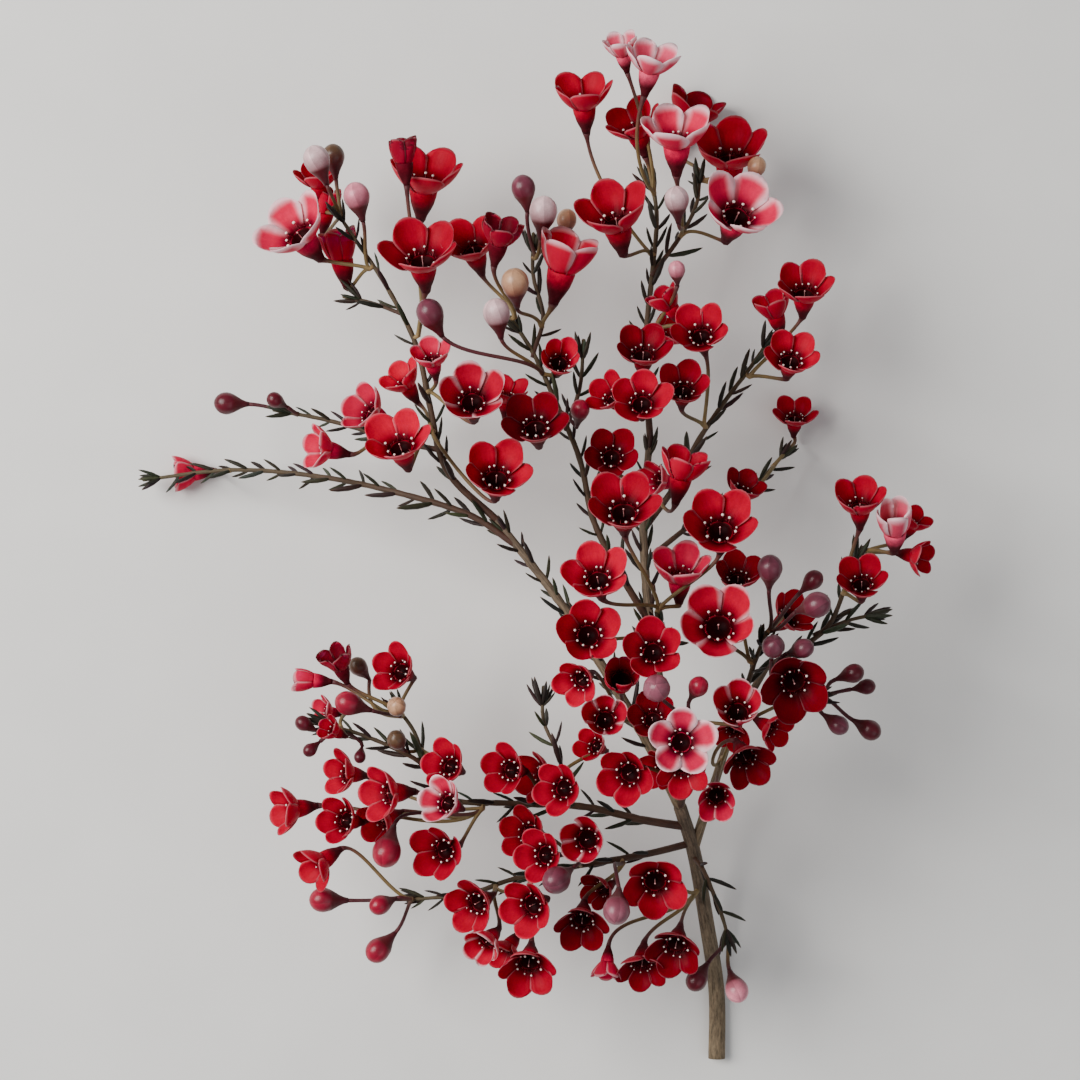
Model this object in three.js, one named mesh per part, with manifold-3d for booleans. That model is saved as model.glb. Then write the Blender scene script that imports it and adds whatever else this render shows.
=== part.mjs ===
// A cut waxflower stem lying on a flat surface: one forked woody stem, leafy shoots growing
// from it, and loose bunches of five-petalled flowers and round buds on thin stalks.
//
// Units are millimetres and +Z is up.  The surface is the plane z = 0.  The cut end points
// toward -Y, and the stem rests on the underside of that end, on the flower at the tip of the
// left shoot and on the hindmost flower of the top shoot.
import * as THREE from "three";
import Module from "manifold-3d";

const wasm = await Module();
wasm.setup();

// ---- Driving dimensions --------------------------------------------------------------------

// Places are drawn in plan as they look from EYE, a point high above the stem, and counted from
// the point below it.  What is nearer to EYE is drawn larger than life, and at MIDDLE_HEIGHT the
// plan is true to scale.
const EYE = [3, 5.5, 960];
const MIDDLE_HEIGHT = 60;

const GAP = 0.3; // clearance between two pieces that touch
const STEM_SIDES = 4; // the leaves of a pair sit on opposite sides of the stem
const STALK_SIDES = 3;
const PETALS = 5; // also the sides of a calyx and of a bud
const BARE_STEP = 13; // length of leafless stem between two of its rings
const STALK_STEP = 19;
const STALK_RADIUS = 0.7;
const BEAD_RADIUS = 1.5; // the small swelling from which a bunch's stalks leave its shoot
const BEAD_STAND = 0.9; // how far the bead's middle stands off the flat side of its shoot
const BEAD_CLEAR = 0.5; // and least off the shoot's corner

// Flower, as fractions of its size, which is its radius when it is seen open from the front.
const DISC = 0.36; // radius of the sunken disc inside the petals
const DISC_SINK = 0.16;
const CALYX_DEPTH = 0.95;
const PETAL_LENGTH = 1.06;
const PETAL_HALF_WIDTH = 0.58;
const MOUTH = 0.36; // height over the disc of the point by which a flower is placed
const PETAL_CURL = 34; // degrees by which a petal bends inward from its foot to its tip
const WIDEST = 0.5; // where a petal is widest, as a share of its length
const SHOULDER = 0.93; // where its rounded end starts, and how wide it still is there
const SHOULDER_WIDTH = 0.62;
const MOST_ARC = 34; // degrees that half a petal may take of the circle, short of its neighbour
const WALL = 0.8; // thickness of the cup's wall where the petals leave it

// Spread of the petals: degrees between a petal and the flower's axis.
const WIDE = 64;
const OPEN = 44;
const CUPPED = 38;
const HALF = 28;
const SHUT = 13;

// Bud, as fractions of its radius: where its stalk ends, and the ring that rounds its top.
const BUD_FOOT = 1.9;
const BUD_TOP = 0.98;
const CROWN_HEIGHT = 0.6;
const CROWN_RADIUS = 0.76;

// Leaves: three-sided needles in opposite pairs, each pair turned a quarter from the last.
const LEAF_LENGTH = 9;
const LEAF_FOOT = 1.3; // length of stem that a leaf's foot takes
const LEAF_RADIUS = 0.75; // half the thickness for which a leaf keeps room at its foot
const LEAF_ANGLE = 38; // degrees between a leaf and its stem
const TIP_LEAF_ANGLE = 25; // the same for the last pair
const LEAF_STEP = 9.5; // along the stem, from pair to pair
const LEAF_ROOM = 1; // least room between a leaf and any other piece
const GROUND_ROOM = 1.2;

// ---- Places and directions -------------------------------------------------------------------

const radians = (degrees) => (degrees * Math.PI) / 180;

// A place in the plan at height z, as a true position.
function place([x, y, z]) {
  const shrink = (EYE[2] - z) / (EYE[2] - MIDDLE_HEIGHT);
  return new THREE.Vector3(EYE[0] + x * shrink, EYE[1] + y * shrink, z);
}

// The way a flower or bud faces: `toward` is its compass angle in plan, counted from +X, and
// `lean` is how far it leans that way from straight up.
function facing(toward, lean) {
  const a = radians(toward);
  const b = radians(lean);
  return new THREE.Vector3(Math.sin(b) * Math.cos(a), Math.sin(b) * Math.sin(a), Math.cos(b));
}

// Two unit vectors square to `axis` and to each other, turned about it by `turn`.
function across(axis, turn) {
  const guide = Math.abs(axis.z) > 0.9 ? new THREE.Vector3(0, 1, 0) : new THREE.Vector3(0, 0, 1);
  const u = guide.cross(axis).normalize().applyAxisAngle(axis, turn);
  return [u, axis.clone().cross(u)];
}

// ---- Layout: flowers and buds ----------------------------------------------------------------

// A flower or bud: its place in plan and height, the way it faces, its size and its spread.
// The turn of its petals follows from its place, so that no two neighbours look alike.
function head(kind, x, y, z, toward, lean, size, spread) {
  const axis = facing(toward, lean);
  const [u, v] = across(axis, radians(x * 7 + y * 13));
  const drop = kind === "bloom" ? MOUTH * size : 0;
  const depth = (kind === "bloom" ? CALYX_DEPTH : BUD_FOOT) * size;
  const disc = place([x, y, z]).addScaledVector(axis, -drop);
  const foot = disc.clone().addScaledVector(axis, -depth);
  return { kind, axis, u, v, disc, foot, size, spread: radians(spread) };
}

const bloom = (...where) => head("bloom", ...where);
const bud = (x, y, z, toward, lean, radius) => head("bud", x, y, z, toward, lean, radius, 0);

// The woody stem.  Every route runs from its foot, on the axis of what carries it, to its tip,
// and its radii are those of its foot and its tip.
const WOOD = [
  {
    route: [[53, -155.5, 2.4], [53, -136, 2.4], [50, -115, 13], [46, -93, 28], [42, -80, 38]],
    radii: [3, 2.3],
  },
  {
    route: [[42, -80, 38], [33, -62, 47], [20, -40, 52], [7, -20, 53], [-13, 6, 48]],
    radii: [2, 1.3],
    leafy: [30, 80],
  },
  {
    route: [[42, -80, 38], [38, -55, 46], [33, -25, 50], [31, 5, 50], [33, 31, 46]],
    radii: [2, 1.2],
    leafy: [45, 110],
  },
  { route: [[46, -93, 28], [52, -74, 38], [59, -54, 47], [68, -38, 51]], radii: [1.8, 1.2] },
];

// Leafy shoots, with the few flowers and buds that sit at a shoot's own tip.
const SHOOTS = [
  {
    name: "left_tip_shoot",
    carrier: "woody_stem",
    stems: [
      {
        route: [[-8, -1, 49.5], [-20, 7, 48], [-42, 14, 43], [-66, 19, 31], [-93, 21, 17], [-119, 18, 9]],
        radii: [1.2, 0.6],
        leafy: [10, 120],
      },
    ],
    axil: [-93, 21, 17],
    heads: [bloom(-106, 20, 4.1, 186, 82, 6.8, HALF)],
  },
  {
    name: "left_bud_shoot",
    carrier: "upper_left_shoot",
    stems: [
      { route: [[-30, 27, 49.5], [-40, 29, 44], [-50, 32, 39], [-64, 36, 35], [-80, 39, 33]],
        radii: [1, 0.6], leafy: [8, 54] },
    ],
    axil: [-72, 37, 33],
    heads: [bud(-94, 41, 33, 178, 85, 3.6), bud(-79.5, 42, 40, 150, 60, 2.5)],
  },
  {
    name: "upper_left_shoot",
    carrier: "woody_stem",
    stems: [
      { route: [[-13, 6, 48], [-28, 21, 49], [-33, 40, 50], [-37, 58, 51], [-46, 76, 51], [-56, 91, 50],
        [-62, 100, 49]], radii: [1.3, 0.6], leafy: [18, 118] },
      { route: [[-42, 68, 51], [-50, 71, 47], [-59, 73, 44]], radii: [0.7, 0.6], leafy: [6, 18] },
    ],
  },
  {
    name: "upper_middle_shoot",
    carrier: "woody_stem",
    stems: [
      { route: [[33, -25, 50], [24, -10, 55], [16, 6, 57], [12, 24, 57], [4, 43, 57], [-2, 56, 57],
        [-9, 67, 57]], radii: [1.3, 0.7], leafy: [14, 96] },
      { route: [[-2, 56, 57], [1, 67, 54], [-2, 79, 53], [-2, 92, 51]], radii: [0.8, 0.6],
        leafy: [6, 36] },
      { route: [[8, 34, 57], [12, 46, 53], [13, 60, 50]], radii: [0.8, 0.6], leafy: [5, 26] },
    ],
  },
  {
    name: "top_shoot",
    carrier: "woody_stem",
    stems: [
      { route: [[33, 31, 46], [32, 46, 45], [32, 63, 43], [34, 83, 39], [35, 98, 35], [33, 110, 32]],
        radii: [1.2, 0.7], leafy: [10, 80] },
      { route: [[34, 80, 40], [42, 91, 34], [47, 101, 27], [48, 111, 20]], radii: [0.9, 0.6],
        leafy: [8, 36] },
    ],
  },
  {
    name: "upper_right_shoot",
    carrier: "woody_stem",
    stems: [
      { route: [[31, 3, 50], [41, 17, 50], [47, 29, 50], [55, 41, 48], [64, 53, 45], [70, 62, 42]],
        radii: [1.2, 0.6], leafy: [14, 70] },
    ],
  },
  {
    name: "far_right_shoot",
    carrier: "woody_stem",
    stems: [
      { route: [[32, -6, 50], [46, 5, 40], [58, 12, 31], [68, 20, 22], [75, 28, 14]],
        radii: [1, 0.6], leafy: [16, 66] },
    ],
    axil: [70, 22, 20],
    heads: [bloom(76.5, 37.5, 9, 90, 48, 6.5, OPEN), bloom(61, 15.5, 58, 65, 52, 6.4, CUPPED)],
  },
  {
    name: "right_shoot",
    carrier: "woody_stem",
    stems: [
      { route: [[68, -38, 51], [79, -32, 52], [87, -25, 51], [92, -13, 49], [97, -2, 47]],
        radii: [1.1, 0.6], leafy: [8, 46] },
      { route: [[83, -28, 51.5], [93, -24, 48], [103, -22, 46]], radii: [0.7, 0.6], leafy: [4, 20] },
    ],
  },
  {
    name: "right_bud_shoot",
    carrier: "woody_stem",
    stems: [
      { route: [[64, -46, 49], [72, -49, 56], [80, -48, 61], [87, -46, 62]], radii: [1, 0.6],
        leafy: [8, 26] },
    ],
    axil: [84, -47, 62],
    heads: [
      bud(94, -40, 70, 20, 80, 3),
      bud(98, -44, 62, 10, 85, 2.5),
      bud(89.5, -55.5, 72, 325, 75, 3),
      bud(99, -57, 62, 330, 85, 3.2),
    ],
  },
  {
    name: "centre_shoot",
    carrier: "woody_stem",
    stems: [
      { route: [[34, -31, 50], [36, -31, 62], [37, -28, 73], [35, -22, 82]], radii: [1.1, 0.8],
        leafy: [10, 30] },
    ],
  },
  {
    name: "centre_right_shoot",
    carrier: "woody_stem",
    stems: [
      { route: [[59, -54, 47], [62, -44, 57], [65, -35, 67], [68, -28, 76]], radii: [1.1, 0.7],
        leafy: [10, 34] },
    ],
  },
  {
    name: "lower_centre_shoot",
    carrier: "woody_stem",
    stems: [
      { route: [[42, -80, 38], [44, -72, 54], [44, -62, 69], [44, -54, 83]], radii: [1.3, 0.8],
        leafy: [14, 46] },
    ],
  },
  {
    name: "lower_left_shoot",
    carrier: "woody_stem",
    stems: [
      { route: [[44, -86, 33], [31, -84, 41], [13, -80, 47], [-9, -79, 49], [-28, -77, 50],
        [-35, -65, 51], [-38, -57, 51], [-45, -48, 51]], radii: [1.5, 0.6], leafy: [14, 122] },
      { route: [[7, -79.4, 48], [6, -66, 44], [1, -54, 40], [1, -44, 38]], radii: [0.7, 0.6],
        leafy: [6, 36] },
    ],
  },
  {
    name: "lower_left_leafy_shoot",
    carrier: "lower_left_shoot",
    stems: [
      { route: [[-31, -72, 50], [-37, -66, 57], [-47, -61, 58], [-58, -57, 57], [-68, -55, 55]],
        radii: [0.9, 0.6], leafy: [8, 44] },
    ],
    axil: [-60, -56, 57],
    heads: [
      bloom(-64.5, -51.5, 48, 170, 60, 4.7, CUPPED),
      bloom(-62.5, -57, 66, 150, 50, 4.6, HALF),
      bud(-71, -55, 60, 150, 75, 2.4),
      bud(-69, -63, 55, 220, 75, 2.1),
      bud(-54, -65, 58, 260, 60, 1.9),
    ],
  },
  {
    name: "bottom_left_shoot",
    carrier: "woody_stem",
    stems: [
      { route: [[45, -91, 29], [33, -94, 37], [22, -96, 41], [10, -98, 42], [-9, -102, 41],
        [-21, -106, 39], [-40, -108, 35]], radii: [1.3, 0.6], leafy: [16, 92] },
    ],
  },
  {
    name: "trailing_shoot",
    carrier: "woody_stem",
    stems: [
      { route: [[46, -95, 27], [49, -99, 36], [52, -106, 41], [55, -114, 41], [57, -122, 39]],
        radii: [0.9, 0.6], leafy: [8, 36] },
    ],
    axil: [56, -119, 39.5],
    heads: [bud(47, -132, 42, 235, 75, 3.4), bud(59, -135, 45, 290, 55, 3.7)],
  },
];

// Bunches of flowers and buds, each on the carrier at the leaf axil nearest to `axil`.
const BUNCHES = [
  { name: "top_tip_bunch", carrier: "top_shoot", axil: [34, 104, 34], heads: [
    bloom(24.5, 147.5, 50, 105, 60, 6.1, HALF),
    bloom(33.5, 143.5, 62, 78, 60, 8.3, CUPPED),
    bloom(28.5, 124.5, 44, 112, 55, 8.7, CUPPED),
  ] },
  { name: "top_left_bunch", carrier: "top_shoot", axil: [34, 86, 39], heads: [
    bloom(13, 133, 50, 96, 55, 9.2, CUPPED),
    bloom(22.5, 97.5, 60, 104, 50, 11, CUPPED),
  ] },
  { name: "top_back_bunch", carrier: "top_shoot", axil: [48, 108, 22], heads: [
    bloom(46, 128.5, 7.1, 70, 70, 9.6, CUPPED),
    bloom(57, 116.5, 30, 92, 50, 11.3, CUPPED),
    bud(65, 112, 40, 70, 60, 3),
  ] },
  { name: "top_right_bunch", carrier: "top_shoot", axil: [42, 91, 34], heads: [
    bloom(41, 122, 56, 92, 56, 10.6, CUPPED),
    bud(41, 102, 58, 96, 66, 3.9),
    bloom(60, 99, 54, 66, 36, 11.3, OPEN),
  ] },
  { name: "top_foot_bunch", carrier: "top_shoot", axil: [32, 62, 43], heads: [
    bloom(38, 71.5, 50, 125, 76, 6.3, HALF),
    bud(41, 81, 60, 95, 60, 2.7),
    bloom(37.5, 62, 34, 40, 60, 5.9, CUPPED),
  ] },
  { name: "left_crown_bunch", carrier: "upper_left_shoot", axil: [-60, 97, 49], heads: [
    bud(-67, 114, 58, 112, 74, 4.2),
    bud(-62, 115, 47, 96, 76, 3.6),
    bloom(-66.5, 108.5, 36, 95, 62, 6.9, CUPPED),
    bloom(-64, 100.5, 32, 80, 70, 6.9, SHUT),
  ] },
  { name: "left_pale_bunch", carrier: "upper_left_shoot", axil: [-50, 82, 51], heads: [
    bloom(-73.5, 93, 60, 132, 46, 10.8, OPEN),
    bud(-55, 103, 60, 104, 70, 4.1),
    bloom(-60, 87, 44, 100, 76, 8.9, SHUT),
  ] },
  { name: "left_tall_bunch", carrier: "upper_left_shoot", axil: [-38, 61, 51], heads: [
    bloom(-41, 115.5, 62, 96, 78, 6.9, SHUT),
    bloom(-34.5, 109, 46, 82, 55, 11.2, CUPPED),
    bloom(-35.5, 86, 64.5, 95, 46, 10.8, OPEN),
  ] },
  { name: "middle_bunch", carrier: "upper_middle_shoot", axil: [-8, 66, 57], heads: [
    bloom(-20.5, 88.5, 57, 110, 46, 8.9, CUPPED),
    bloom(-12, 91.5, 74, 78, 62, 7.6, HALF),
  ] },
  { name: "middle_bud_bunch", carrier: "upper_middle_shoot", axil: [-2, 84, 52], heads: [
    bud(-5, 105.5, 60, 100, 74, 3.8),
    bud(1, 98.5, 60, 84, 72, 4.4),
    bud(8, 96, 44, 80, 72, 3.2),
  ] },
  { name: "middle_cup_bunch", carrier: "upper_middle_shoot", axil: [0, 64, 55], heads: [
    bloom(7.5, 84.5, 62, 75, 70, 11, HALF),
    bud(-7.5, 77, 73, 95, 58, 4.3),
  ] },
  { name: "middle_low_bunch", carrier: "upper_middle_shoot", axil: [1, 50, 57], heads: [
    bud(-13, 68, 72, 100, 68, 4.2),
    bud(-33, 68, 71, 118, 70, 4.2),
    bloom(6, 54, 66, 80, 26, 7.1, HALF),
  ] },
  { name: "left_side_bunch", carrier: "left_bud_shoot", axil: [-46, 31, 36], heads: [
    bloom(-65.5, 27.5, 48, 168, 66, 7, CUPPED),
    bloom(-52, 39, 56, 148, 52, 7.8, CUPPED),
  ] },
  { name: "left_front_bunch", carrier: "upper_left_shoot", axil: [-31, 33, 50], heads: [
    bloom(-42.5, 29.5, 73, 108, 42, 9.4, OPEN),
    bloom(-41, 48, 44, 122, 60, 6.9, CUPPED),
    bloom(-13, 20, 74, 86, 36, 9.6, OPEN),
  ] },
  { name: "left_upper_bunch", carrier: "upper_left_shoot", axil: [-34, 44, 50], heads: [
    bloom(-32.5, 55, 64, 100, 50, 6.4, CUPPED),
    bloom(-20.5, 43, 80, 95, 32, 9.4, OPEN),
  ] },
  { name: "middle_dark_bunch", carrier: "upper_middle_shoot", axil: [6, 39, 57], heads: [
    bloom(-10, 44, 62, 85, 58, 6.4, CUPPED),
    bloom(-1.5, 35, 80, 100, 34, 8.9, OPEN),
    bud(12, 39, 68, 80, 60, 3),
  ] },
  { name: "upper_bunch", carrier: "top_shoot", axil: [32, 44, 45], heads: [
    bloom(31, 57, 74, 90, 42, 7.9, OPEN),
    bloom(30.5, 42, 82, 95, 28, 8, OPEN),
    bloom(21, 43.5, 66, 135, 48, 6.8, CUPPED),
  ] },
  { name: "upper_right_bunch", carrier: "upper_right_shoot", axil: [50, 34, 49], heads: [
    bloom(48, 62.5, 64, 108, 34, 8.2, OPEN),
    bloom(43, 46, 70, 88, 36, 7.5, OPEN),
  ] },
  { name: "right_crown_bunch", carrier: "upper_right_shoot", axil: [62, 50, 46], heads: [
    bloom(79.5, 75.5, 50, 90, 44, 8.7, CUPPED),
    bloom(70, 69.5, 34, 110, 66, 7.1, HALF),
    bloom(75.5, 55, 58, 82, 36, 7.9, OPEN),
  ] },
  { name: "centre_back_bunch", carrier: "woody_stem", axil: [32, 15, 49], heads: [
    bloom(21.5, 25.5, 72, 92, 20, 7.4, OPEN),
    bloom(35, 18, 70, 170, 50, 6.3, HALF),
    bloom(43, 21.5, 84, 78, 72, 8.4, HALF),
  ] },
  { name: "centre_bunch", carrier: "centre_shoot", axil: [35, -22, 82], heads: [
    bloom(25, 10, 96, 95, 36, 10, OPEN),
    bloom(54, 4.5, 100, 96, 34, 10.2, OPEN),
    bloom(17, -10.5, 102, 104, 36, 8.9, OPEN),
    bloom(42, -9, 84, 90, 58, 8.8, CUPPED),
  ] },
  { name: "centre_left_bunch", carrier: "centre_shoot", axil: [37, -29, 70], heads: [
    bloom(14.5, -28, 94, 92, 16, 8.7, OPEN),
    bloom(34, -33, 96, 95, 20, 8.1, OPEN),
  ] },
  { name: "centre_low_bunch", carrier: "woody_stem", axil: [28, -54, 49], heads: [
    bloom(11.5, -42.5, 76, 210, 34, 6.6, OPEN),
    bloom(24.5, -41.5, 88, 90, 20, 8.5, SHUT),
    bloom(19.5, -53.5, 78, 100, 18, 7.5, HALF),
  ] },
  { name: "right_front_bunch", carrier: "centre_right_shoot", axil: [64, -37, 65], heads: [
    bloom(53.5, -25, 92, 100, 22, 10.7, OPEN),
    bloom(59.5, -10.5, 76, 90, 42, 7, CUPPED),
  ] },
  { name: "right_bud_bunch", carrier: "centre_right_shoot", axil: [68, -28, 76], heads: [
    bud(69, -8.5, 92, 90, 58, 3.8),
    bud(83, -19.5, 90, 20, 50, 4),
    bud(82, -12, 80, 45, 76, 2.9),
    bloom(75.5, -22.5, 60, 40, 46, 7.3, CUPPED),
  ] },
  { name: "right_dark_bunch", carrier: "right_bud_shoot", axil: [72, -50, 57], heads: [
    bloom(76.5, -43.5, 84, 280, 20, 9.4, OPEN),
    bud(70, -32, 90, 90, 30, 3.5),
    bud(79, -32.5, 86, 20, 60, 3),
    bloom(70, -57, 70, 330, 50, 5.9, CUPPED),
  ] },
  { name: "far_right_bunch", carrier: "right_shoot", axil: [97, -3, 47], heads: [
    bloom(106.5, 5, 62, 95, 48, 8.9, SHUT),
    bloom(112.5, 5.5, 44, 60, 60, 5.2, CUPPED),
    bloom(113.5, -5, 52, 350, 60, 5.8, CUPPED),
  ] },
  { name: "right_side_bunch", carrier: "right_shoot", axil: [91, -16, 49.5], heads: [
    bloom(96, 11.5, 60, 95, 50, 8, CUPPED),
    bloom(96.5, -12, 66, 98, 40, 7.4, OPEN),
  ] },
  { name: "front_bud_bunch", carrier: "lower_centre_shoot", axil: [44, -54, 82], heads: [
    bud(35, -44.5, 106, 110, 18, 4.1),
    bud(47.5, -44, 98, 60, 50, 3),
    bloom(59.5, -50.5, 98, 90, 28, 8.4, HALF),
  ] },
  { name: "front_bunch", carrier: "lower_centre_shoot", axil: [44, -62, 69], heads: [
    bloom(42.5, -60.5, 106, 80, 8, 7.8, WIDE),
    bloom(33.5, -53, 84, 110, 30, 6.7, OPEN),
  ] },
  { name: "front_low_bunch", carrier: "lower_centre_shoot", axil: [44, -72, 54], heads: [
    bloom(43, -69.5, 83.5, 270, 34, 7.1, OPEN),
    bloom(36, -68.5, 64, 205, 44, 6.2, CUPPED),
    bloom(26, -70.5, 80, 200, 24, 8.1, OPEN),
  ] },
  { name: "front_right_bunch", carrier: "woody_stem", axil: [55, -65, 42], heads: [
    bloom(62, -66.5, 82, 295, 38, 7.5, OPEN),
    bloom(58, -58, 66, 250, 46, 5.6, CUPPED),
    bloom(53, -77.5, 72, 262, 18, 7.3, HALF),
  ] },
  { name: "lower_crown_bunch", carrier: "lower_left_shoot", axil: [-41, -53, 51], heads: [
    bloom(-60.5, -36.5, 58, 110, 62, 6.2, HALF),
    bloom(-70, -42, 50, 176, 84, 5.9, SHUT),
    bud(-57.5, -49, 67, 162, 78, 3.8),
    bud(-54.5, -38, 46, 130, 70, 2.9),
    bloom(-43, -39, 64, 150, 36, 7.2, OPEN),
    bud(-43, -50, 62, 100, 30, 3),
  ] },
  { name: "lower_left_bunch", carrier: "lower_left_shoot", axil: [-36, -63, 51], heads: [
    bloom(-28, -67.5, 68, 150, 36, 7, OPEN),
    bloom(-29, -78.5, 76, 152, 40, 7.1, CUPPED),
    bud(-43, -60, 64, 120, 40, 3),
  ] },
  { name: "lower_bright_bunch", carrier: "lower_left_shoot", axil: [-25, -77.5, 50], heads: [
    bloom(-59, -70, 46, 170, 52, 6.8, CUPPED),
    bloom(-46.5, -76, 68, 180, 52, 8, CUPPED),
  ] },
  { name: "lower_front_bunch", carrier: "lower_left_shoot", axil: [-17, -78.5, 49.5], heads: [
    bloom(-59.5, -84, 60, 166, 38, 7.3, CUPPED),
    bloom(-48, -84.5, 52, 200, 52, 6.9, CUPPED),
    bloom(-30, -93.5, 62, 190, 32, 8.1, OPEN),
    bud(-46, -93.5, 66, 255, 60, 4.5),
    bloom(-75.5, -81, 46, 186, 62, 7.4, CUPPED),
  ] },
  { name: "bottom_bud_bunch", carrier: "bottom_left_shoot", axil: [-38, -108, 35.5], heads: [
    bloom(-67, -97.5, 44, 212, 60, 7.3, CUPPED),
    bud(-65, -108, 38, 178, 82, 4),
    bud(-48, -109.5, 42, 200, 60, 3.2),
    bud(-48.5, -123, 34, 225, 80, 3.9),
  ] },
  { name: "bottom_back_bunch", carrier: "lower_left_shoot", axil: [2, -79, 48.5], heads: [
    bloom(-10, -69, 68, 170, 36, 7.5, OPEN),
    bloom(-0.5, -71, 54, 180, 52, 7.5, CUPPED),
    bloom(6, -74.5, 74, 170, 30, 7.4, OPEN),
    bloom(16, -61.5, 44, 150, 40, 5.6, CUPPED),
  ] },
  { name: "bottom_middle_bunch", carrier: "bottom_left_shoot", axil: [12, -97.6, 42], heads: [
    bloom(-4.5, -88, 58, 165, 38, 7.6, OPEN),
    bloom(0.5, -94.5, 70, 170, 30, 7.4, OPEN),
    bloom(13.5, -90, 72, 180, 18, 8.3, HALF),
    bud(5, -102, 80, 210, 40, 4.2),
  ] },
  { name: "bottom_tip_bunch", carrier: "bottom_left_shoot", axil: [-13, -103.4, 40.5], heads: [
    bloom(-20, -109.5, 58, 200, 36, 7.8, OPEN),
    bloom(-3.5, -110, 72, 192, 32, 8.1, OPEN),
    bloom(-16.5, -121, 62, 220, 36, 6.8, HALF),
  ] },
  { name: "bottom_low_bunch", carrier: "bottom_left_shoot", axil: [-3, -101, 41.3], heads: [
    bloom(-3.5, -128.5, 62, 262, 34, 8.3, OPEN),
    bloom(-10.5, -123.5, 44, 230, 52, 6.3, CUPPED),
  ] },
  { name: "bottom_dark_bunch", carrier: "bottom_left_shoot", axil: [24, -95.5, 40.5], heads: [
    bloom(12.5, -115.5, 60, 262, 36, 7.8, OPEN),
    bloom(18, -105, 46, 200, 40, 5.8, CUPPED),
    bud(23, -111, 78, 262, 46, 4.2),
  ] },
  { name: "bottom_right_bunch", carrier: "woody_stem", axil: [48, -104, 20.5], heads: [
    bloom(34.5, -103.5, 66, 262, 18, 9.1, OPEN),
    bloom(20, -128.5, 44, 265, 74, 5.3, HALF),
    bloom(30.5, -128.5, 46, 262, 46, 7.4, OPEN),
    bloom(40.5, -123, 54, 252, 36, 8.1, OPEN),
  ] },
];

// ---- Solids ------------------------------------------------------------------------------------

// A closed solid from points and triangles that already share them.
function solid(points, triangles) {
  const vertProperties = new Float32Array(points.flatMap((p) => [p.x, p.y, p.z]));
  const triVerts = new Uint32Array(triangles.flat());
  return new wasm.Manifold(new wasm.Mesh({ numProp: 3, vertProperties, triVerts }));
}

const joined = (solids) => solids.reduce((whole, next) => whole.add(next));

// The largest of the bodies that a cut leaves.  Loose scraps and sealed hollows go.
function oneBody(cut) {
  const bodies = cut.decompose();
  return bodies.reduce((best, next) => (next.volume() > best.volume() ? next : best));
}

// `count` points round `centre`, the first of them half a step on from `u`.
function ring(centre, u, v, radius, count) {
  return Array.from({ length: count }, (_, i) => {
    const angle = ((i + 0.5) * 2 * Math.PI) / count;
    return centre.clone()
      .addScaledVector(u, radius * Math.cos(angle))
      .addScaledVector(v, radius * Math.sin(angle));
  });
}

// Side faces between two rings, given as the number of their first point and their count.
function band([lower, lowerCount], [upper, upperCount]) {
  const faces = [];
  let [i, j] = [0, 0];
  while (i + j < lowerCount + upperCount) {
    const a = lower + (i % lowerCount);
    const b = upper + (j % upperCount);
    if ((i + 1.5) / lowerCount < (j + 1.5) / upperCount) {
      i += 1;
      faces.push([a, lower + (i % lowerCount), b]);
    } else {
      j += 1;
      faces.push([a, upper + (j % upperCount), b]);
    }
  }
  return faces;
}

// Side faces between rings that follow each other in one list of points.
function bands(counts) {
  const firsts = counts.map((_, k) => counts.slice(0, k).reduce((sum, count) => sum + count, 0));
  return counts.slice(1).flatMap((count, k) => band([firsts[k], counts[k]], [firsts[k + 1], count]));
}

// The flat end under a first ring of `count` points.
const floor = (count) => Array.from({ length: count - 2 }, (_, i) => [0, i + 2, i + 1]);

// Turns the frame (u, v) with the least twist from square to `before` to square to `after`.
function carryFrame(u, v, before, after) {
  const turn = new THREE.Quaternion().setFromUnitVectors(before, after);
  return [u.clone().applyQuaternion(turn), v.clone().applyQuaternion(turn)];
}

function routeCurve(route) {
  return new THREE.CatmullRomCurve3(route.map(place), false, "centripetal");
}

// Where the rings of a stem stand along it, and the slope of the leaves that grow there: one ring
// at each pair of leaves, and even steps elsewhere.
function ringStands({ leafy }, length) {
  const even = (from, to, step, slope) => {
    const count = Math.max(1, Math.round((to - from) / step));
    return Array.from({ length: count }, (_, k) => ({ at: from + ((to - from) * k) / count, slope }));
  };
  const tip = { at: length, slope: 0 };
  if (!leafy) return [...even(0, length, BARE_STEP, 0), tip];
  const [first, last] = [leafy[0], Math.min(leafy[1], length - 2 * LEAF_FOOT)];
  return [
    ...even(0, first, BARE_STEP, 0),
    ...even(first, last, LEAF_STEP, LEAF_ANGLE),
    { at: last, slope: TIP_LEAF_ANGLE },
    ...even(last, length, BARE_STEP, 0).slice(1),
    tip,
  ];
}

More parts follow.
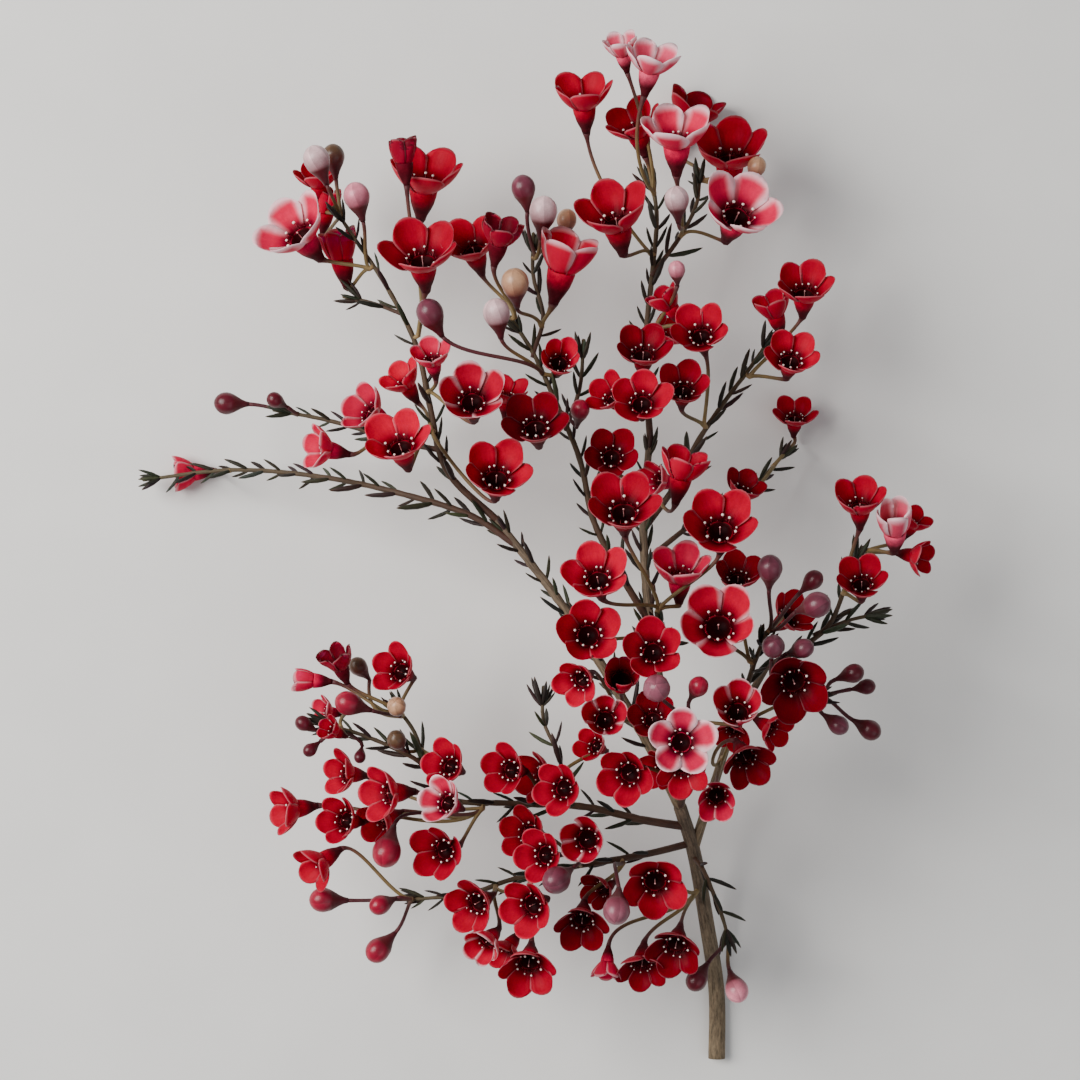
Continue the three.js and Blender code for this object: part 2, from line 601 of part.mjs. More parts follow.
// A stem with its leaves, as one closed surface, `extra` thicker than the stem itself and longer
// at its tip.  `leafTip` gives the tip of a leaf, or nothing where there is none.  A leaf's foot is
// a triangle on one side of the stem: two corners of a ring and a point LEAF_FOOT further on.
function stemSolid(stem, extra = 0, leafTip = () => null) {
  const { route, radii } = stem;
  const curve = routeCurve(route);
  const length = curve.getLength();
  const stands = ringStands(stem, length);
  const [points, faces, frames] = [[], [], []];
  let along = curve.getTangentAt(0);
  let [u, v] = across(along, 0);
  stands.forEach(({ at }, k) => {
    const next = curve.getTangentAt(at / length);
    [u, v] = carryFrame(u, v, along, next);
    along = next;
    const beyond = k === stands.length - 1 ? extra : 0;
    const centre = curve.getPointAt(at / length).addScaledVector(along, beyond);
    const radius = THREE.MathUtils.lerp(radii[0], radii[1], at / length) + extra;
    points.push(...ring(centre, u, v, radius, STEM_SIDES));
    frames.push({ along, sides: [v, u.clone().negate(), v.clone().negate(), u] });
  });

  const last = (stands.length - 1) * STEM_SIDES;
  for (let k = 0; k + 1 < stands.length; k += 1) {
    for (let i = 0; i < STEM_SIDES; i += 1) {
      const a = k * STEM_SIDES + i;
      const b = k * STEM_SIDES + ((i + 1) % STEM_SIDES);
      const [c, d] = [b + STEM_SIDES, a + STEM_SIDES];
      const middle = points[a].clone().lerp(points[b], 0.5);
      const up = points[c].clone().lerp(points[d], 0.5).sub(middle).setLength(LEAF_FOOT);
      const leafy = stands[k].slope > 0 && (i + k) % 2 === 0;
      const foot = middle.clone().addScaledVector(up, 1 / 3);
      const tip = leafy && leafTip(foot, frames[k].along, frames[k].sides[i], radians(stands[k].slope));
      if (tip) {
        const [m, t] = [points.length, points.length + 1];
        points.push(middle.add(up), tip);
        faces.push([a, b, t], [b, m, t], [m, a, t], [b, c, m], [c, d, m], [d, a, m]);
      } else {
        faces.push([a, b, c], [a, c, d]);
      }
    }
  }
  const roof = floor(STEM_SIDES).map(([a, b, c]) => [last + a, last + c, last + b]);
  return solid(points, [...faces, ...floor(STEM_SIDES), ...roof]);
}

// Rings of a stalk from its start to the head's foot, turned to meet the head's own frame.
function stalkRings(curve, { axis, u, v }) {
  const steps = Math.max(1, Math.round(curve.getLength() / STALK_STEP));
  const rings = [];
  let [a, b] = [u, v];
  let along = axis;
  for (let k = steps; k >= 0; k -= 1) {
    const next = curve.getTangentAt(k / steps);
    [a, b] = carryFrame(a, b, along, next);
    along = next;
    rings.unshift(ring(curve.getPointAt(k / steps), a, b, STALK_RADIUS, STALK_SIDES));
  }
  return rings;
}

// A point of the petals' bowl: `share` of the way along a petal, at `angle` round the axis.
function bowlPoint(flower, share, angle) {
  const { axis, u, v, disc, size, spread } = flower;
  const curl = radians(PETAL_CURL);
  const start = spread + curl / 2;
  const end = start - curl * share;
  const radius = size * (DISC + (PETAL_LENGTH * (Math.cos(end) - Math.cos(start))) / curl);
  const height = (size * PETAL_LENGTH * (Math.sin(start) - Math.sin(end))) / curl;
  return disc.clone()
    .addScaledVector(axis, height)
    .addScaledVector(u, radius * Math.cos(angle))
    .addScaledVector(v, radius * Math.sin(angle));
}

const bowlRadius = (flower, share) => {
  const p = bowlPoint(flower, share, 0).sub(flower.disc);
  return p.addScaledVector(flower.axis, -p.dot(flower.axis)).length();
};

// A flower with its stalk, as one closed surface: the stalk and the funnel of the calyx, five
// petals that share its rim, and the sunken disc between them.
function bloomSolid(flower, curve) {
  const { axis, u, v, disc, size } = flower;
  const rings = stalkRings(curve, flower);
  rings.push(ring(disc, u, v, DISC * size + WALL / 2, PETALS));
  const points = rings.flat();
  const inner = points.length;
  const outer = inner - PETALS;
  points.push(...ring(disc, u, v, DISC * size - WALL / 2, PETALS));
  const faces = [...bands(rings.map((each) => each.length)), ...floor(STALK_SIDES)];

  const halfWidth = PETAL_HALF_WIDTH * size;
  const widest = Math.min(radians(MOST_ARC), halfWidth / bowlRadius(flower, WIDEST));
  const shoulder = Math.min(radians(MOST_ARC), (SHOULDER_WIDTH * halfWidth) / bowlRadius(flower, SHOULDER));
  for (let i = 0; i < PETALS; i += 1) {
    const next = (i + 1) % PETALS;
    const middle = ((i + 1) * 2 * Math.PI) / PETALS;
    const left = points.length;
    points.push(
      bowlPoint(flower, WIDEST, middle - widest),
      bowlPoint(flower, SHOULDER, middle - shoulder),
      bowlPoint(flower, SHOULDER, middle + shoulder),
      bowlPoint(flower, WIDEST, middle + widest),
      bowlPoint(flower, WIDEST, middle),
    );
    const [p1, p2, p3, p4, back] = [left, left + 1, left + 2, left + 3, left + 4];
    const [o1, o2, n1, n2] = [outer + i, outer + next, inner + i, inner + next];
    const edge = [o1, o2, p4, p3, p2, p1];
    edge.forEach((from, k) => faces.push([from, edge[(k + 1) % edge.length], back]));
    faces.push([p1, p2, p3], [p1, p3, p4], [n1, p1, p4], [n1, p4, n2], [n1, o1, p1], [n2, p4, o2]);
  }
  points.push(disc.clone().addScaledVector(axis, -DISC_SINK * size));
  for (let i = 0; i < PETALS; i += 1) {
    faces.push([inner + i, inner + ((i + 1) % PETALS), points.length - 1]);
  }
  return solid(points, faces);
}

// A bud with its stalk: widest round its middle, rounded on top, tapering into the stalk.
function budSolid(knob, curve) {
  const { axis, u, v, disc, size } = knob;
  const rings = stalkRings(curve, knob);
  rings.push(ring(disc, u, v, size, PETALS));
  const crown = disc.clone().addScaledVector(axis, CROWN_HEIGHT * size);
  rings.push(ring(crown, u, v, CROWN_RADIUS * size, PETALS));
  const points = rings.flat();
  const top = points.length;
  points.push(disc.clone().addScaledVector(axis, BUD_TOP * size));
  const faces = [...bands(rings.map((each) => each.length)), ...floor(STALK_SIDES)];
  for (let i = 0; i < PETALS; i += 1) {
    faces.push([top - PETALS + i, top - PETALS + ((i + 1) % PETALS), top]);
  }
  return solid(points, faces);
}

const headSolid = (item, curve) => (item.kind === "bloom" ? bloomSolid : budSolid)(item, curve);

// The bead at a bunch's foot: an eight-faced knob.
function beadSolid(centre) {
  const r = BEAD_RADIUS;
  const tips = [[r, 0, 0], [0, r, 0], [-r, 0, 0], [0, -r, 0], [0, 0, r], [0, 0, -r]];
  const points = tips.map(([x, y, z]) => centre.clone().add(new THREE.Vector3(x, y, z)));
  const faces = [0, 1, 2, 3].flatMap((i) => [[i, (i + 1) % 4, 4], [(i + 1) % 4, i, 5]]);
  return solid(points, faces);
}

// ---- Room between pieces -------------------------------------------------------------------------

// What is already in place: points along stems, stalks and leaves, and the heads.
const taken = { rods: [], heads: [] };

const RODS_STEP = 2.5; // length between the points that stand for a stem or stalk
const ROOT_ZONE = 6;

function takeRod(owner, curve, radius) {
  const count = Math.ceil(curve.getLength() / RODS_STEP);
  curve.getSpacedPoints(count).forEach((point) => taken.rods.push({ owner, point, radius }));
}

// Distance in the plane from the point (x, y) to the segment from a to b.
function toSegment(x, y, [ax, ay], [bx, by]) {
  const [dx, dy] = [bx - ax, by - ay];
  const share = THREE.MathUtils.clamp(((x - ax) * dx + (y - ay) * dy) / (dx * dx + dy * dy), 0, 1);
  return Math.hypot(x - ax - share * dx, y - ay - share * dy);
}

// Outline of a head in the half plane (distance from its axis, height over its disc).
function outline(item) {
  const { axis, disc, size } = item;
  if (item.kind === "bud") return [[0.6, -BUD_FOOT * size], [size, 0], [size * 0.76, size * 0.6], [0, size]];
  const bowl = [WIDEST, 1].map((share) => {
    const height = bowlPoint(item, share, 0).sub(disc).dot(axis);
    return [bowlRadius(item, share), height];
  });
  return [[0, -CALYX_DEPTH * size], [DISC * size, 0], ...bowl];
}

// Room between a point and a head.
function toHead(point, item) {
  const from = point.clone().sub(item.disc);
  const reach = from.length();
  if (reach > 4 * item.size + 8) return reach;
  const height = from.dot(item.axis);
  const out = Math.sqrt(Math.max(0, reach * reach - height * height));
  const line = item.outline;
  const dome = reach - item.size;
  let room = item.kind === "bud" ? dome : toSegment(out, height, [0, 0], [DISC * item.size, 0]);
  for (let k = 0; k + 1 < line.length; k += 1) {
    room = Math.min(room, toSegment(out, height, line[k], line[k + 1]));
  }
  return room - 0.3;
}

// Least room round `point` to every head but `self` and to the stems, stalks and leaves of other
// owners.  Close to `root`, where a stalk starts, its carrier doesn't count.
function roomAt(point, { owner, self, carrier, root }) {
  let room = point.z - GROUND_ROOM;
  for (const item of taken.heads) {
    if (item !== self) room = Math.min(room, toHead(point, item));
  }
  for (const rod of taken.rods) {
    const ownRoot = rod.owner === carrier && rod.point.distanceTo(root) < ROOT_ZONE;
    if (rod.owner !== owner && !ownRoot) room = Math.min(room, point.distanceTo(rod.point) - rod.radius);
  }
  return room;
}

// ---- Stalks ----------------------------------------------------------------------------------------

const BOWS = [0, 3, 6, 9]; // how far a stalk may bend aside to pass its neighbours
const BOW_WAYS = 8;
const STALK_ROOM = 1.1; // room that is enough, beyond the stalk's own radius

// A stalk leaves `start` toward its head, aside by `bow`, and meets the head along its axis.
function stalkCurve(start, outward, item, bow) {
  const reach = item.foot.distanceTo(start);
  const straight = item.foot.clone().sub(start).normalize();
  const first = start.clone()
    .addScaledVector(outward, 0.15 * reach)
    .addScaledVector(straight, 0.2 * reach)
    .add(bow);
  const second = item.foot.clone().addScaledVector(item.axis, -0.33 * reach).addScaledVector(bow, 0.6);
  return new THREE.CubicBezierCurve3(start, first, second, item.foot);
}

function stalkRoom(curve, whose) {
  const points = curve.getSpacedPoints(Math.ceil(curve.getLength() / RODS_STEP));
  return Math.min(...points.map((point) => roomAt(point, whose))) - STALK_RADIUS;
}

// The least bent stalk that has room enough, or else the one with the most room.
function clearStalk(start, outward, item, owner, carrier) {
  const straight = item.foot.clone().sub(start).normalize();
  const [a, b] = across(straight, 0);
  let best = null;
  for (const bow of BOWS) {
    const ways = bow === 0 ? 1 : BOW_WAYS;
    for (let way = 0; way < ways; way += 1) {
      const angle = (way * 2 * Math.PI) / BOW_WAYS;
      const aside = a.clone().multiplyScalar(bow * Math.cos(angle));
      aside.addScaledVector(b, bow * Math.sin(angle));
      const curve = stalkCurve(start, outward, item, aside);
      const room = stalkRoom(curve, { owner, self: item, carrier, root: start });
      if (!best || room > best.room) best = { curve, room };
      if (room > STALK_ROOM) return best.curve;
    }
  }
  return best.curve;
}

// ---- Leaves ----------------------------------------------------------------------------------------

const LEAF_TURNS = [0, 35, -35, 65, -65]; // degrees that a leaf may turn aside to find room
const LEAF_SIZES = [1, 0.7];
const LEAF_CHECKS = [0.1, 0.25, 0.4, 0.6, 0.8, 1]; // shares of its length where a leaf needs room

// The first place for the tip of a leaf from `foot` that has room all the way, or nothing.
function clearTip(owner, foot, along, side, slope) {
  for (const size of LEAF_SIZES) {
    for (const turn of LEAF_TURNS) {
      const away = side.clone().applyAxisAngle(along, radians(turn));
      const way = along.clone().multiplyScalar(Math.cos(slope)).addScaledVector(away, Math.sin(slope));
      const checks = LEAF_CHECKS.map((share) => ({
        owner,
        point: foot.clone().addScaledVector(way, LEAF_LENGTH * size * share),
        radius: LEAF_RADIUS * (1 - share),
      }));
      if (checks.every(({ point, radius }) => roomAt(point, { owner }) > LEAF_ROOM + radius)) {
        taken.rods.push(...checks);
        return checks.at(-1).point;
      }
    }
  }
  return null;
}

// ---- Assembly --------------------------------------------------------------------------------------

const WOODY = { name: "woody_stem", stems: WOOD };
const CARRIERS = new Map([WOODY, ...SHOOTS].map((piece) => [piece.name, piece]));

// The point nearest to `axil` on a carrier's stems, with the stem's direction and radius there.
function onCarrier(carrier, axil) {
  const wanted = place(axil);
  let best = { distance: Infinity };
  for (const stem of CARRIERS.get(carrier).stems) {
    const curve = routeCurve(stem.route);
    const count = Math.ceil(curve.getLength());
    for (let k = 0; k <= count; k += 1) {
      const point = curve.getPointAt(k / count);
      const distance = point.distanceTo(wanted);
      if (distance < best.distance) {
        const radius = THREE.MathUtils.lerp(stem.radii[0], stem.radii[1], k / count);
        best = { distance, point, along: curve.getTangentAt(k / count), radius };
      }
    }
  }
  return best;
}

// The carrier's stems, made thicker by the gap, to cut from what is seated on them.
function seat(carrier) {
  const extra = GAP / Math.cos(Math.PI / STEM_SIDES);
  return joined(CARRIERS.get(carrier).stems.map((stem) => stemSolid(stem, extra)));
}

// Everything below the surface, so that what touches it rests on a small flat.
function ground() {
  const [far, deep] = [400, 20];
  const corners = [[-1, -1], [1, -1], [1, 1], [-1, 1]];
  const points = [-deep, 0].flatMap((z) => corners.map(([x, y]) => new THREE.Vector3(x * far, y * far, z)));
  const faces = [[0, 2, 1], [0, 3, 2], [4, 5, 6], [4, 6, 7]];
  for (let i = 0; i < 4; i += 1) {
    const j = (i + 1) % 4;
    faces.push([i, j, j + 4], [i, j + 4, i + 4]);
  }
  return solid(points, faces);
}

function claimHeads(owner, heads) {
  heads.forEach((item) => {
    Object.assign(item, { owner, outline: outline(item) });
    taken.heads.push(item);
  });
}

// The room taken by stems and heads is noted first, because stalks and leaves go round them.
[WOODY, ...SHOOTS].forEach(({ name, stems, heads = [] }) => {
  stems.forEach((stem) => takeRod(name, routeCurve(stem.route), Math.max(...stem.radii)));
  claimHeads(name, heads);
});
BUNCHES.forEach(({ name, heads }) => claimHeads(name, heads));

// Heads with their stalks, all from one start.
function stalked(heads, start, outward, owner, carrier) {
  return heads.map((item) => {
    const curve = clearStalk(start, outward, item, owner, carrier);
    takeRod(owner, curve, STALK_RADIUS);
    return headSolid(item, curve);
  });
}

// A bunch: its bead against the carrier, and a stalk from the bead to each head.
function bunchSolid({ name, carrier, axil, heads }) {
  const { point, along, radius } = onCarrier(carrier, axil);
  const toward = new THREE.Vector3();
  heads.forEach((item) => toward.add(item.foot.clone().sub(point).normalize()));
  const outward = toward.addScaledVector(along, -toward.dot(along)).normalize();
  const side = radius * Math.cos(Math.PI / STEM_SIDES);
  const bead = point.clone().addScaledVector(outward, Math.max(side + BEAD_STAND, radius + BEAD_CLEAR));
  taken.rods.push({ owner: name, point: bead, radius: BEAD_RADIUS });
  return joined([beadSolid(bead), ...stalked(heads, bead, outward, name, carrier)]);
}

// The heads at a shoot's own tip, on stalks that start on its axis.
function tipHeads({ name, carrier, axil, heads = [] }) {
  if (heads.length === 0) return [];
  const { point, along } = onCarrier(name, axil);
  return stalked(heads, point, along, name, carrier);
}

const tips = new Map(SHOOTS.map((shoot) => [shoot.name, tipHeads(shoot)]));
const bunches = BUNCHES.map((bunch) => [bunch.name, bunchSolid(bunch), bunch.carrier, "bunch"]);
const leafy = [WOODY, ...SHOOTS].map(({ name, carrier, stems }) => {
  const leafTip = (...where) => clearTip(name, ...where);
  const parts = [...stems.map((stem) => stemSolid(stem, 0, leafTip)), ...(tips.get(name) ?? [])];
  return [name, joined(parts), carrier, carrier ? "shoot" : "wood"];
});

const FINISHES = {
  wood: { color: 0x6b5a45, roughness: 0.8, metalness: 0 },
  shoot: { color: 0x3d332b, roughness: 0.7, metalness: 0 },
  bunch: { color: 0xc00a18, roughness: 0.5, metalness: 0 },
};

function meshOf(name, body, finish) {
  const { vertProperties, triVerts } = body.getMesh();
  const geometry = new THREE.BufferGeometry();
  geometry.setAttribute("position", new THREE.BufferAttribute(new Float32Array(vertProperties), 3));
  geometry.setIndex(new THREE.BufferAttribute(new Uint32Array(triVerts), 1));
  geometry.computeVertexNormals();
  const mesh = new THREE.Mesh(geometry, new THREE.MeshStandardMaterial(FINISHES[finish]));
  mesh.name = name;
  return mesh;
}

const stem = new THREE.Group();
const below = ground();
for (const [name, whole, carrier, finish] of [...leafy, ...bunches]) {
  const seated = carrier ? whole.subtract(seat(carrier)) : whole;
  stem.add(meshOf(name, oneBody(seated.subtract(below)), finish));
}

export default stem;
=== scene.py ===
import math
import random

import bmesh
import bpy
from mathutils import Matrix, Quaternion, Vector
from mathutils.bvhtree import BVHTree


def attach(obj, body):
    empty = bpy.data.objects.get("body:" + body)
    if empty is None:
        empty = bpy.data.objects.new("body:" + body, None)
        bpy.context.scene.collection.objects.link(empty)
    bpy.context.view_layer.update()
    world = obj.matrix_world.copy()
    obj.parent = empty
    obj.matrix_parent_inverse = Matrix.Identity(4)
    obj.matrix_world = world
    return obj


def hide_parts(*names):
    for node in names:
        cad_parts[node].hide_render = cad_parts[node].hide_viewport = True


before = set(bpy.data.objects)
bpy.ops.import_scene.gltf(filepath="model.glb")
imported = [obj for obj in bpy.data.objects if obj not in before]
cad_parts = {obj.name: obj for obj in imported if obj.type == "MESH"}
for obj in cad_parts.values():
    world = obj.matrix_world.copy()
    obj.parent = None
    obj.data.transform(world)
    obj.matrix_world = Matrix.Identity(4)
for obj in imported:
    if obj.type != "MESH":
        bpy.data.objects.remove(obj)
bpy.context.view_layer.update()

# ---- View, light and floor -----------------------------------------------------------------------
# The stem lies on a plain pale floor and is seen from straight above.  A large soft light
# stands at its left, a weak one at its right, and the sky over it is even.
EYE = Vector((0.003, 0.0055, 0.960))
LENS, SENSOR = 100, 36
FLOOR_SIDE, FLOOR_DROP = 6.0, 0.0002
FLOOR_GREY = (0.80, 0.80, 0.785, 1)
SKY_GREY, SKY_STRENGTH = (0.95, 0.97, 1.0, 1), 0.31
KEY = dict(spot=(-0.88, 0.30, 1.02), side=0.85, power=29.5, color=(1.0, 0.97, 0.93))
FILL = dict(spot=(0.80, -0.60, 1.10), side=1.00, power=3.0, color=(0.93, 0.96, 1.0))


def soft_light(name, spot, side, power, color):
    lamp = bpy.data.lights.new(name, "AREA")
    lamp.size, lamp.energy, lamp.color = side, power, color
    holder = bpy.data.objects.new(name, lamp)
    holder.location = spot
    holder.rotation_euler = (-Vector(spot)).to_track_quat("-Z", "Y").to_euler()
    bpy.context.collection.objects.link(holder)


finishes = []  # every material; a face's material number counts in this list


def new_finish(name, **plain):
    """A material, its node tree and its Principled BSDF with the plain values set."""
    material = bpy.data.materials.new(name)
    material.use_nodes = True
    finishes.append(material)
    skin = material.node_tree.nodes["Principled BSDF"]
    for socket, value in plain.items():
        skin.inputs[socket.replace("_", " ")].default_value = value
    return material, material.node_tree, skin


def add_node(tree, kind, inputs=(), **settings):
    """A new node; `inputs` pairs each socket with a value or with another node's output."""
    made = tree.nodes.new(kind)
    for name, value in settings.items():
        setattr(made, name, value)
    for socket, value in inputs:
        if isinstance(value, bpy.types.NodeSocket):
            tree.links.new(value, made.inputs[socket])
        else:
            made.inputs[socket].default_value = value
    return made


def calculate(tree, what, first, second=0.0):
    return add_node(tree, "ShaderNodeMath", ((0, first), (1, second)), operation=what).outputs[0]


def mixed(tree, share, first, second, how="MIX"):
    """The colours `first` and `second` together, by the share of the second."""
    inputs = ((0, share), (6, first), (7, second))
    return add_node(tree, "ShaderNodeMix", inputs, data_type="RGBA", blend_type=how).outputs[2]


def toned(tree, color, tone):
    """A colour made lighter or darker by a tone."""
    return mixed(tree, 1.0, color, tone, "MULTIPLY")


def ranged(tree, value, start, end, low=0.0, high=1.0, smooth=False):
    """`low` where the value is `start`, `high` where it is `end`, and a blend in between."""
    return add_node(tree, "ShaderNodeMapRange", (
        ("Value", value), ("From Min", start), ("From Max", end), ("To Min", low), ("To Max", high)),
        interpolation_type="SMOOTHSTEP" if smooth else "LINEAR").outputs[0]


def body_place(tree):
    """Where a point lies, as the part's own measure counts it."""
    return add_node(tree, "ShaderNodeTexCoord").outputs["Object"]


def mottle_group():
    """A coarse and a fine noise together, as a tone from Low to High and as a height."""
    tree = bpy.data.node_groups.new("mottle", "ShaderNodeTree")
    sockets = (("Vector", "Vector"), ("Scale", "Float"), ("Low", "Float"), ("High", "Float"))
    for name, kind in sockets:
        tree.interface.new_socket(name, in_out="INPUT", socket_type="NodeSocket" + kind)
    for name in ("Tone", "Height"):
        tree.interface.new_socket(name, in_out="OUTPUT", socket_type="NodeSocketFloat")
    given = tree.nodes.new("NodeGroupInput").outputs
    noises = []
    for times, detail, share in ((1.0, 3.0, 0.65), (4.3, 2.0, 0.35)):
        noise = add_node(tree, "ShaderNodeTexNoise", (
            ("Vector", given["Vector"]), ("Detail", detail),
            ("Scale", calculate(tree, "MULTIPLY", given["Scale"], times))))
        noises.append(calculate(tree, "MULTIPLY", noise.outputs[0], share))
    height = calculate(tree, "ADD", *noises)
    tone = ranged(tree, height, 0.35, 0.65, given["Low"], given["High"])
    add_node(tree, "NodeGroupOutput", (("Tone", tone), ("Height", height)))
    return tree


mottle = mottle_group()


def add_mottle(tree, vector, scale, low, high):
    made = add_node(tree, "ShaderNodeGroup", (
        ("Vector", vector), ("Scale", scale), ("Low", low), ("High", high)), node_tree=mottle)
    return made.outputs["Tone"], made.outputs["Height"]


camera = bpy.data.objects.new("camera", bpy.data.cameras.new("camera"))
camera.data.lens, camera.data.sensor_width = LENS, SENSOR
camera.location = EYE
bpy.context.collection.objects.link(camera)
bpy.context.scene.camera = camera

soft_light("key_light", **KEY)
soft_light("fill_light", **FILL)
world = bpy.data.worlds.new("sky")
world.use_nodes = True
sky = world.node_tree.nodes["Background"]
sky.inputs["Color"].default_value = SKY_GREY
sky.inputs["Strength"].default_value = SKY_STRENGTH
bpy.context.scene.world = world

floor_paint, tree, skin = new_finish("floor_paint", Roughness=0.75)
stains = add_mottle(tree, body_place(tree), 9.0, 0.97, 1.03)[0]
tree.links.new(toned(tree, FLOOR_GREY, stains), skin.inputs["Base Color"])
floor_bm = bmesh.new()
bmesh.ops.create_grid(floor_bm, x_segments=2, y_segments=2, size=FLOOR_SIDE / 2,
                      matrix=Matrix.Translation((0, 0, -FLOOR_DROP)))
floor_mesh = bpy.data.meshes.new("floor")
floor_bm.to_mesh(floor_mesh)
floor_bm.free()
floor_mesh.materials.append(floor_paint)
floor_sheet = bpy.data.objects.new("floor", floor_mesh)
bpy.context.collection.objects.link(floor_sheet)

# ---- Woody stem ----------------------------------------------------------------------------------
# The forked main stem is grey-brown wood under thin bark with fine long cracks.  It grew in one
# piece, and its lower end was cut square, so that the pale wood shows there.
MM = 0.001
MIDDLE_HEIGHT = 60  # mm; at this height the plan is true to scale
WOOD_ROUTES = [  # places in the plan, the two radii, and the leafy stretch along it, all in mm
    ([(53, -155.5, 2.4), (53, -136, 2.4), (50, -115, 13), (46, -93, 28), (42, -80, 38)],
     (3, 2.3), None),
    ([(42, -80, 38), (33, -62, 47), (20, -40, 52), (7, -20, 53), (-13, 6, 48)],
     (2, 1.3), (24, 100)),
    ([(42, -80, 38), (38, -55, 46), (33, -25, 50), (31, 5, 50), (33, 31, 46)],
     (2, 1.2), (45, 110)),
    ([(46, -93, 28), (52, -74, 38), (59, -54, 47), (68, -38, 51)],
     (1.8, 1.2), None),
]
SPAN_STEPS = 16  # points of a smooth line for each span of its route
STEM_STEP = 2.5  # mm between two rings of a stem
STEM_SIDES = 12
TIP_LENGTH, TIP_RADIUS, ROOT_RADIUS = 0.7, 0.35, 0.8  # for each unit of the radius there
STEM_FULLNESS = 0.9  # a round stem's radius, for each unit of its four-sided core's
KNOT_STEP, KNOT_SWELL = 6.0, 0.07  # mm between two leaf pairs, and how far a stem swells there
BARK, OLD_BARK = "5C4E40", "75654F"
PALE_WOOD = "C9AE82"


def paint(code):
    """The red, green and blue of a colour code, as a material counts them."""
    parts = [int(code[i:i + 2], 16) / 255 for i in (0, 2, 4)]
    return [p / 12.92 if p <= 0.04045 else ((p + 0.055) / 1.055) ** 2.4 for p in parts]


def blend_paints(stops, at):
    """The colour at `at` between stops of (place, code)."""
    for (low, first), (high, second) in zip(stops, stops[1:]):
        if at <= high:
            break
    share = min(max((at - low) / (high - low), 0), 1)
    return (*(a + (b - a) * share for a, b in zip(paint(first), paint(second))), 1)


def place(spot):
    """A place in the plan, in mm and drawn as it looks from EYE, as a true position."""
    x, y, z = spot
    shrink = (EYE.z / MM - z) / (EYE.z / MM - MIDDLE_HEIGHT)
    return Vector((EYE.x + x * shrink * MM, EYE.y + y * shrink * MM, z * MM))


def smooth_line(route):
    """Points on one smooth line through the places of a route."""
    knots = [place(spot) for spot in route]
    knots = [2 * knots[0] - knots[1], *knots, 2 * knots[-1] - knots[-2]]
    line = []
    for p0, p1, p2, p3 in zip(knots, knots[1:], knots[2:], knots[3:]):
        d0, d1, d2 = (math.sqrt((b - a).length) for a, b in ((p0, p1), (p1, p2), (p2, p3)))
        leave = ((p1 - p0) / d0 - (p2 - p0) / (d0 + d1) + (p2 - p1) / d1) * d1
        arrive = ((p2 - p1) / d1 - (p3 - p1) / (d1 + d2) + (p3 - p2) / d2) * d1
        for k in range(SPAN_STEPS):
            t = k / SPAN_STEPS
            line.append(p1 + leave * t + (3 * (p2 - p1) - 2 * leave - arrive) * t ** 2
                        + (2 * (p1 - p2) + leave + arrive) * t ** 3)
    return [*line, knots[-2]]


def line_length(line):
    return sum((b - a).length for a, b in zip(line, line[1:]))


def walk(line, at):
    """The point and the direction at the length `at` along a line."""
    for a, b in zip(line, line[1:]):
        step = (b - a).length
        if at <= step or b is line[-1]:
            break
        at -= step
    way = (b - a).normalized()
    return a + way * min(at, step), way


def new_part():
    """An empty mesh with the layers that the materials read: `form` and `tint`."""
    part = bmesh.new()
    part.verts.layers.float_vector.new("form")
    part.verts.layers.float_color.new("tint")
    return part


def layers_of(part):
    """The layers `form` and `tint` of a part."""
    return part.verts.layers.float_vector["form"], part.verts.layers.float_color["tint"]


def rod(stations, sides):
    """A closed round rod through stations of (centre, direction, radius, mark, tint).

    Its layer `form` holds the place round the rod in x and y, and the mark in z.
    """
    part = new_part()
    form, shade = layers_of(part)
    before = stations[0][1]
    turn = before.to_track_quat("Z", "Y")
    fresh = bmesh.ops.create_circle(part, cap_ends=True, segments=sides, radius=1)["verts"]
    edges = part.edges[:]
    for vert in fresh:
        vert[form] = (vert.co.x, vert.co.y, 0)
    stand = Matrix.Identity(4)
    for number, (centre, way, radius, mark, tint) in enumerate(stations):
        turn = before.rotation_difference(way) @ turn
        before = way
        if number:
            grown = bmesh.ops.extrude_edge_only(part, edges=edges)["geom"]
            fresh = [item for item in grown if isinstance(item, bmesh.types.BMVert)]
            edges = [item for item in grown if isinstance(item, bmesh.types.BMEdge)]
        here = Matrix.LocRotScale(centre, turn, (radius, radius, radius))
        bmesh.ops.transform(part, matrix=here @ stand.inverted(), verts=fresh)
        stand = here
        for vert in fresh:
            vert[form].z = mark
            vert[shade] = tint
    bmesh.ops.edgeloop_fill(part, edges=edges)
    bmesh.ops.recalc_face_normals(part, faces=part.faces)
    return part


def add_part(piece, part, finish, end_finish=None):
    """Puts a finished part into a piece's mesh; broad ends are flat, and may differ."""
    for face in part.faces:
        end = len(face.verts) > 4
        face.material_index = finishes.index(end_finish if end and end_finish else finish)
        face.smooth = not end
    mesh = bpy.data.meshes.new("part")
    part.to_mesh(mesh)
    part.free()
    piece.from_mesh(mesh)
    bpy.data.meshes.remove(mesh)


def finish_piece(piece, name, node):
    """Makes a piece's object, with the materials that it uses, in the place of its CAD node."""
    used = sorted({face.material_index for face in piece.faces})
    for face in piece.faces:
        face.material_index = used.index(face.material_index)
    for vert in piece.verts:
        vert.co.z = max(vert.co.z, 0.0)
    mesh = bpy.data.meshes.new(name)
    piece.to_mesh(mesh)
    piece.free()
    for index in used:
        mesh.materials.append(finishes[index])
    holder = bpy.data.objects.new(name, mesh)
    bpy.context.collection.objects.link(holder)
    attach(holder, "root")
    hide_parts(node)


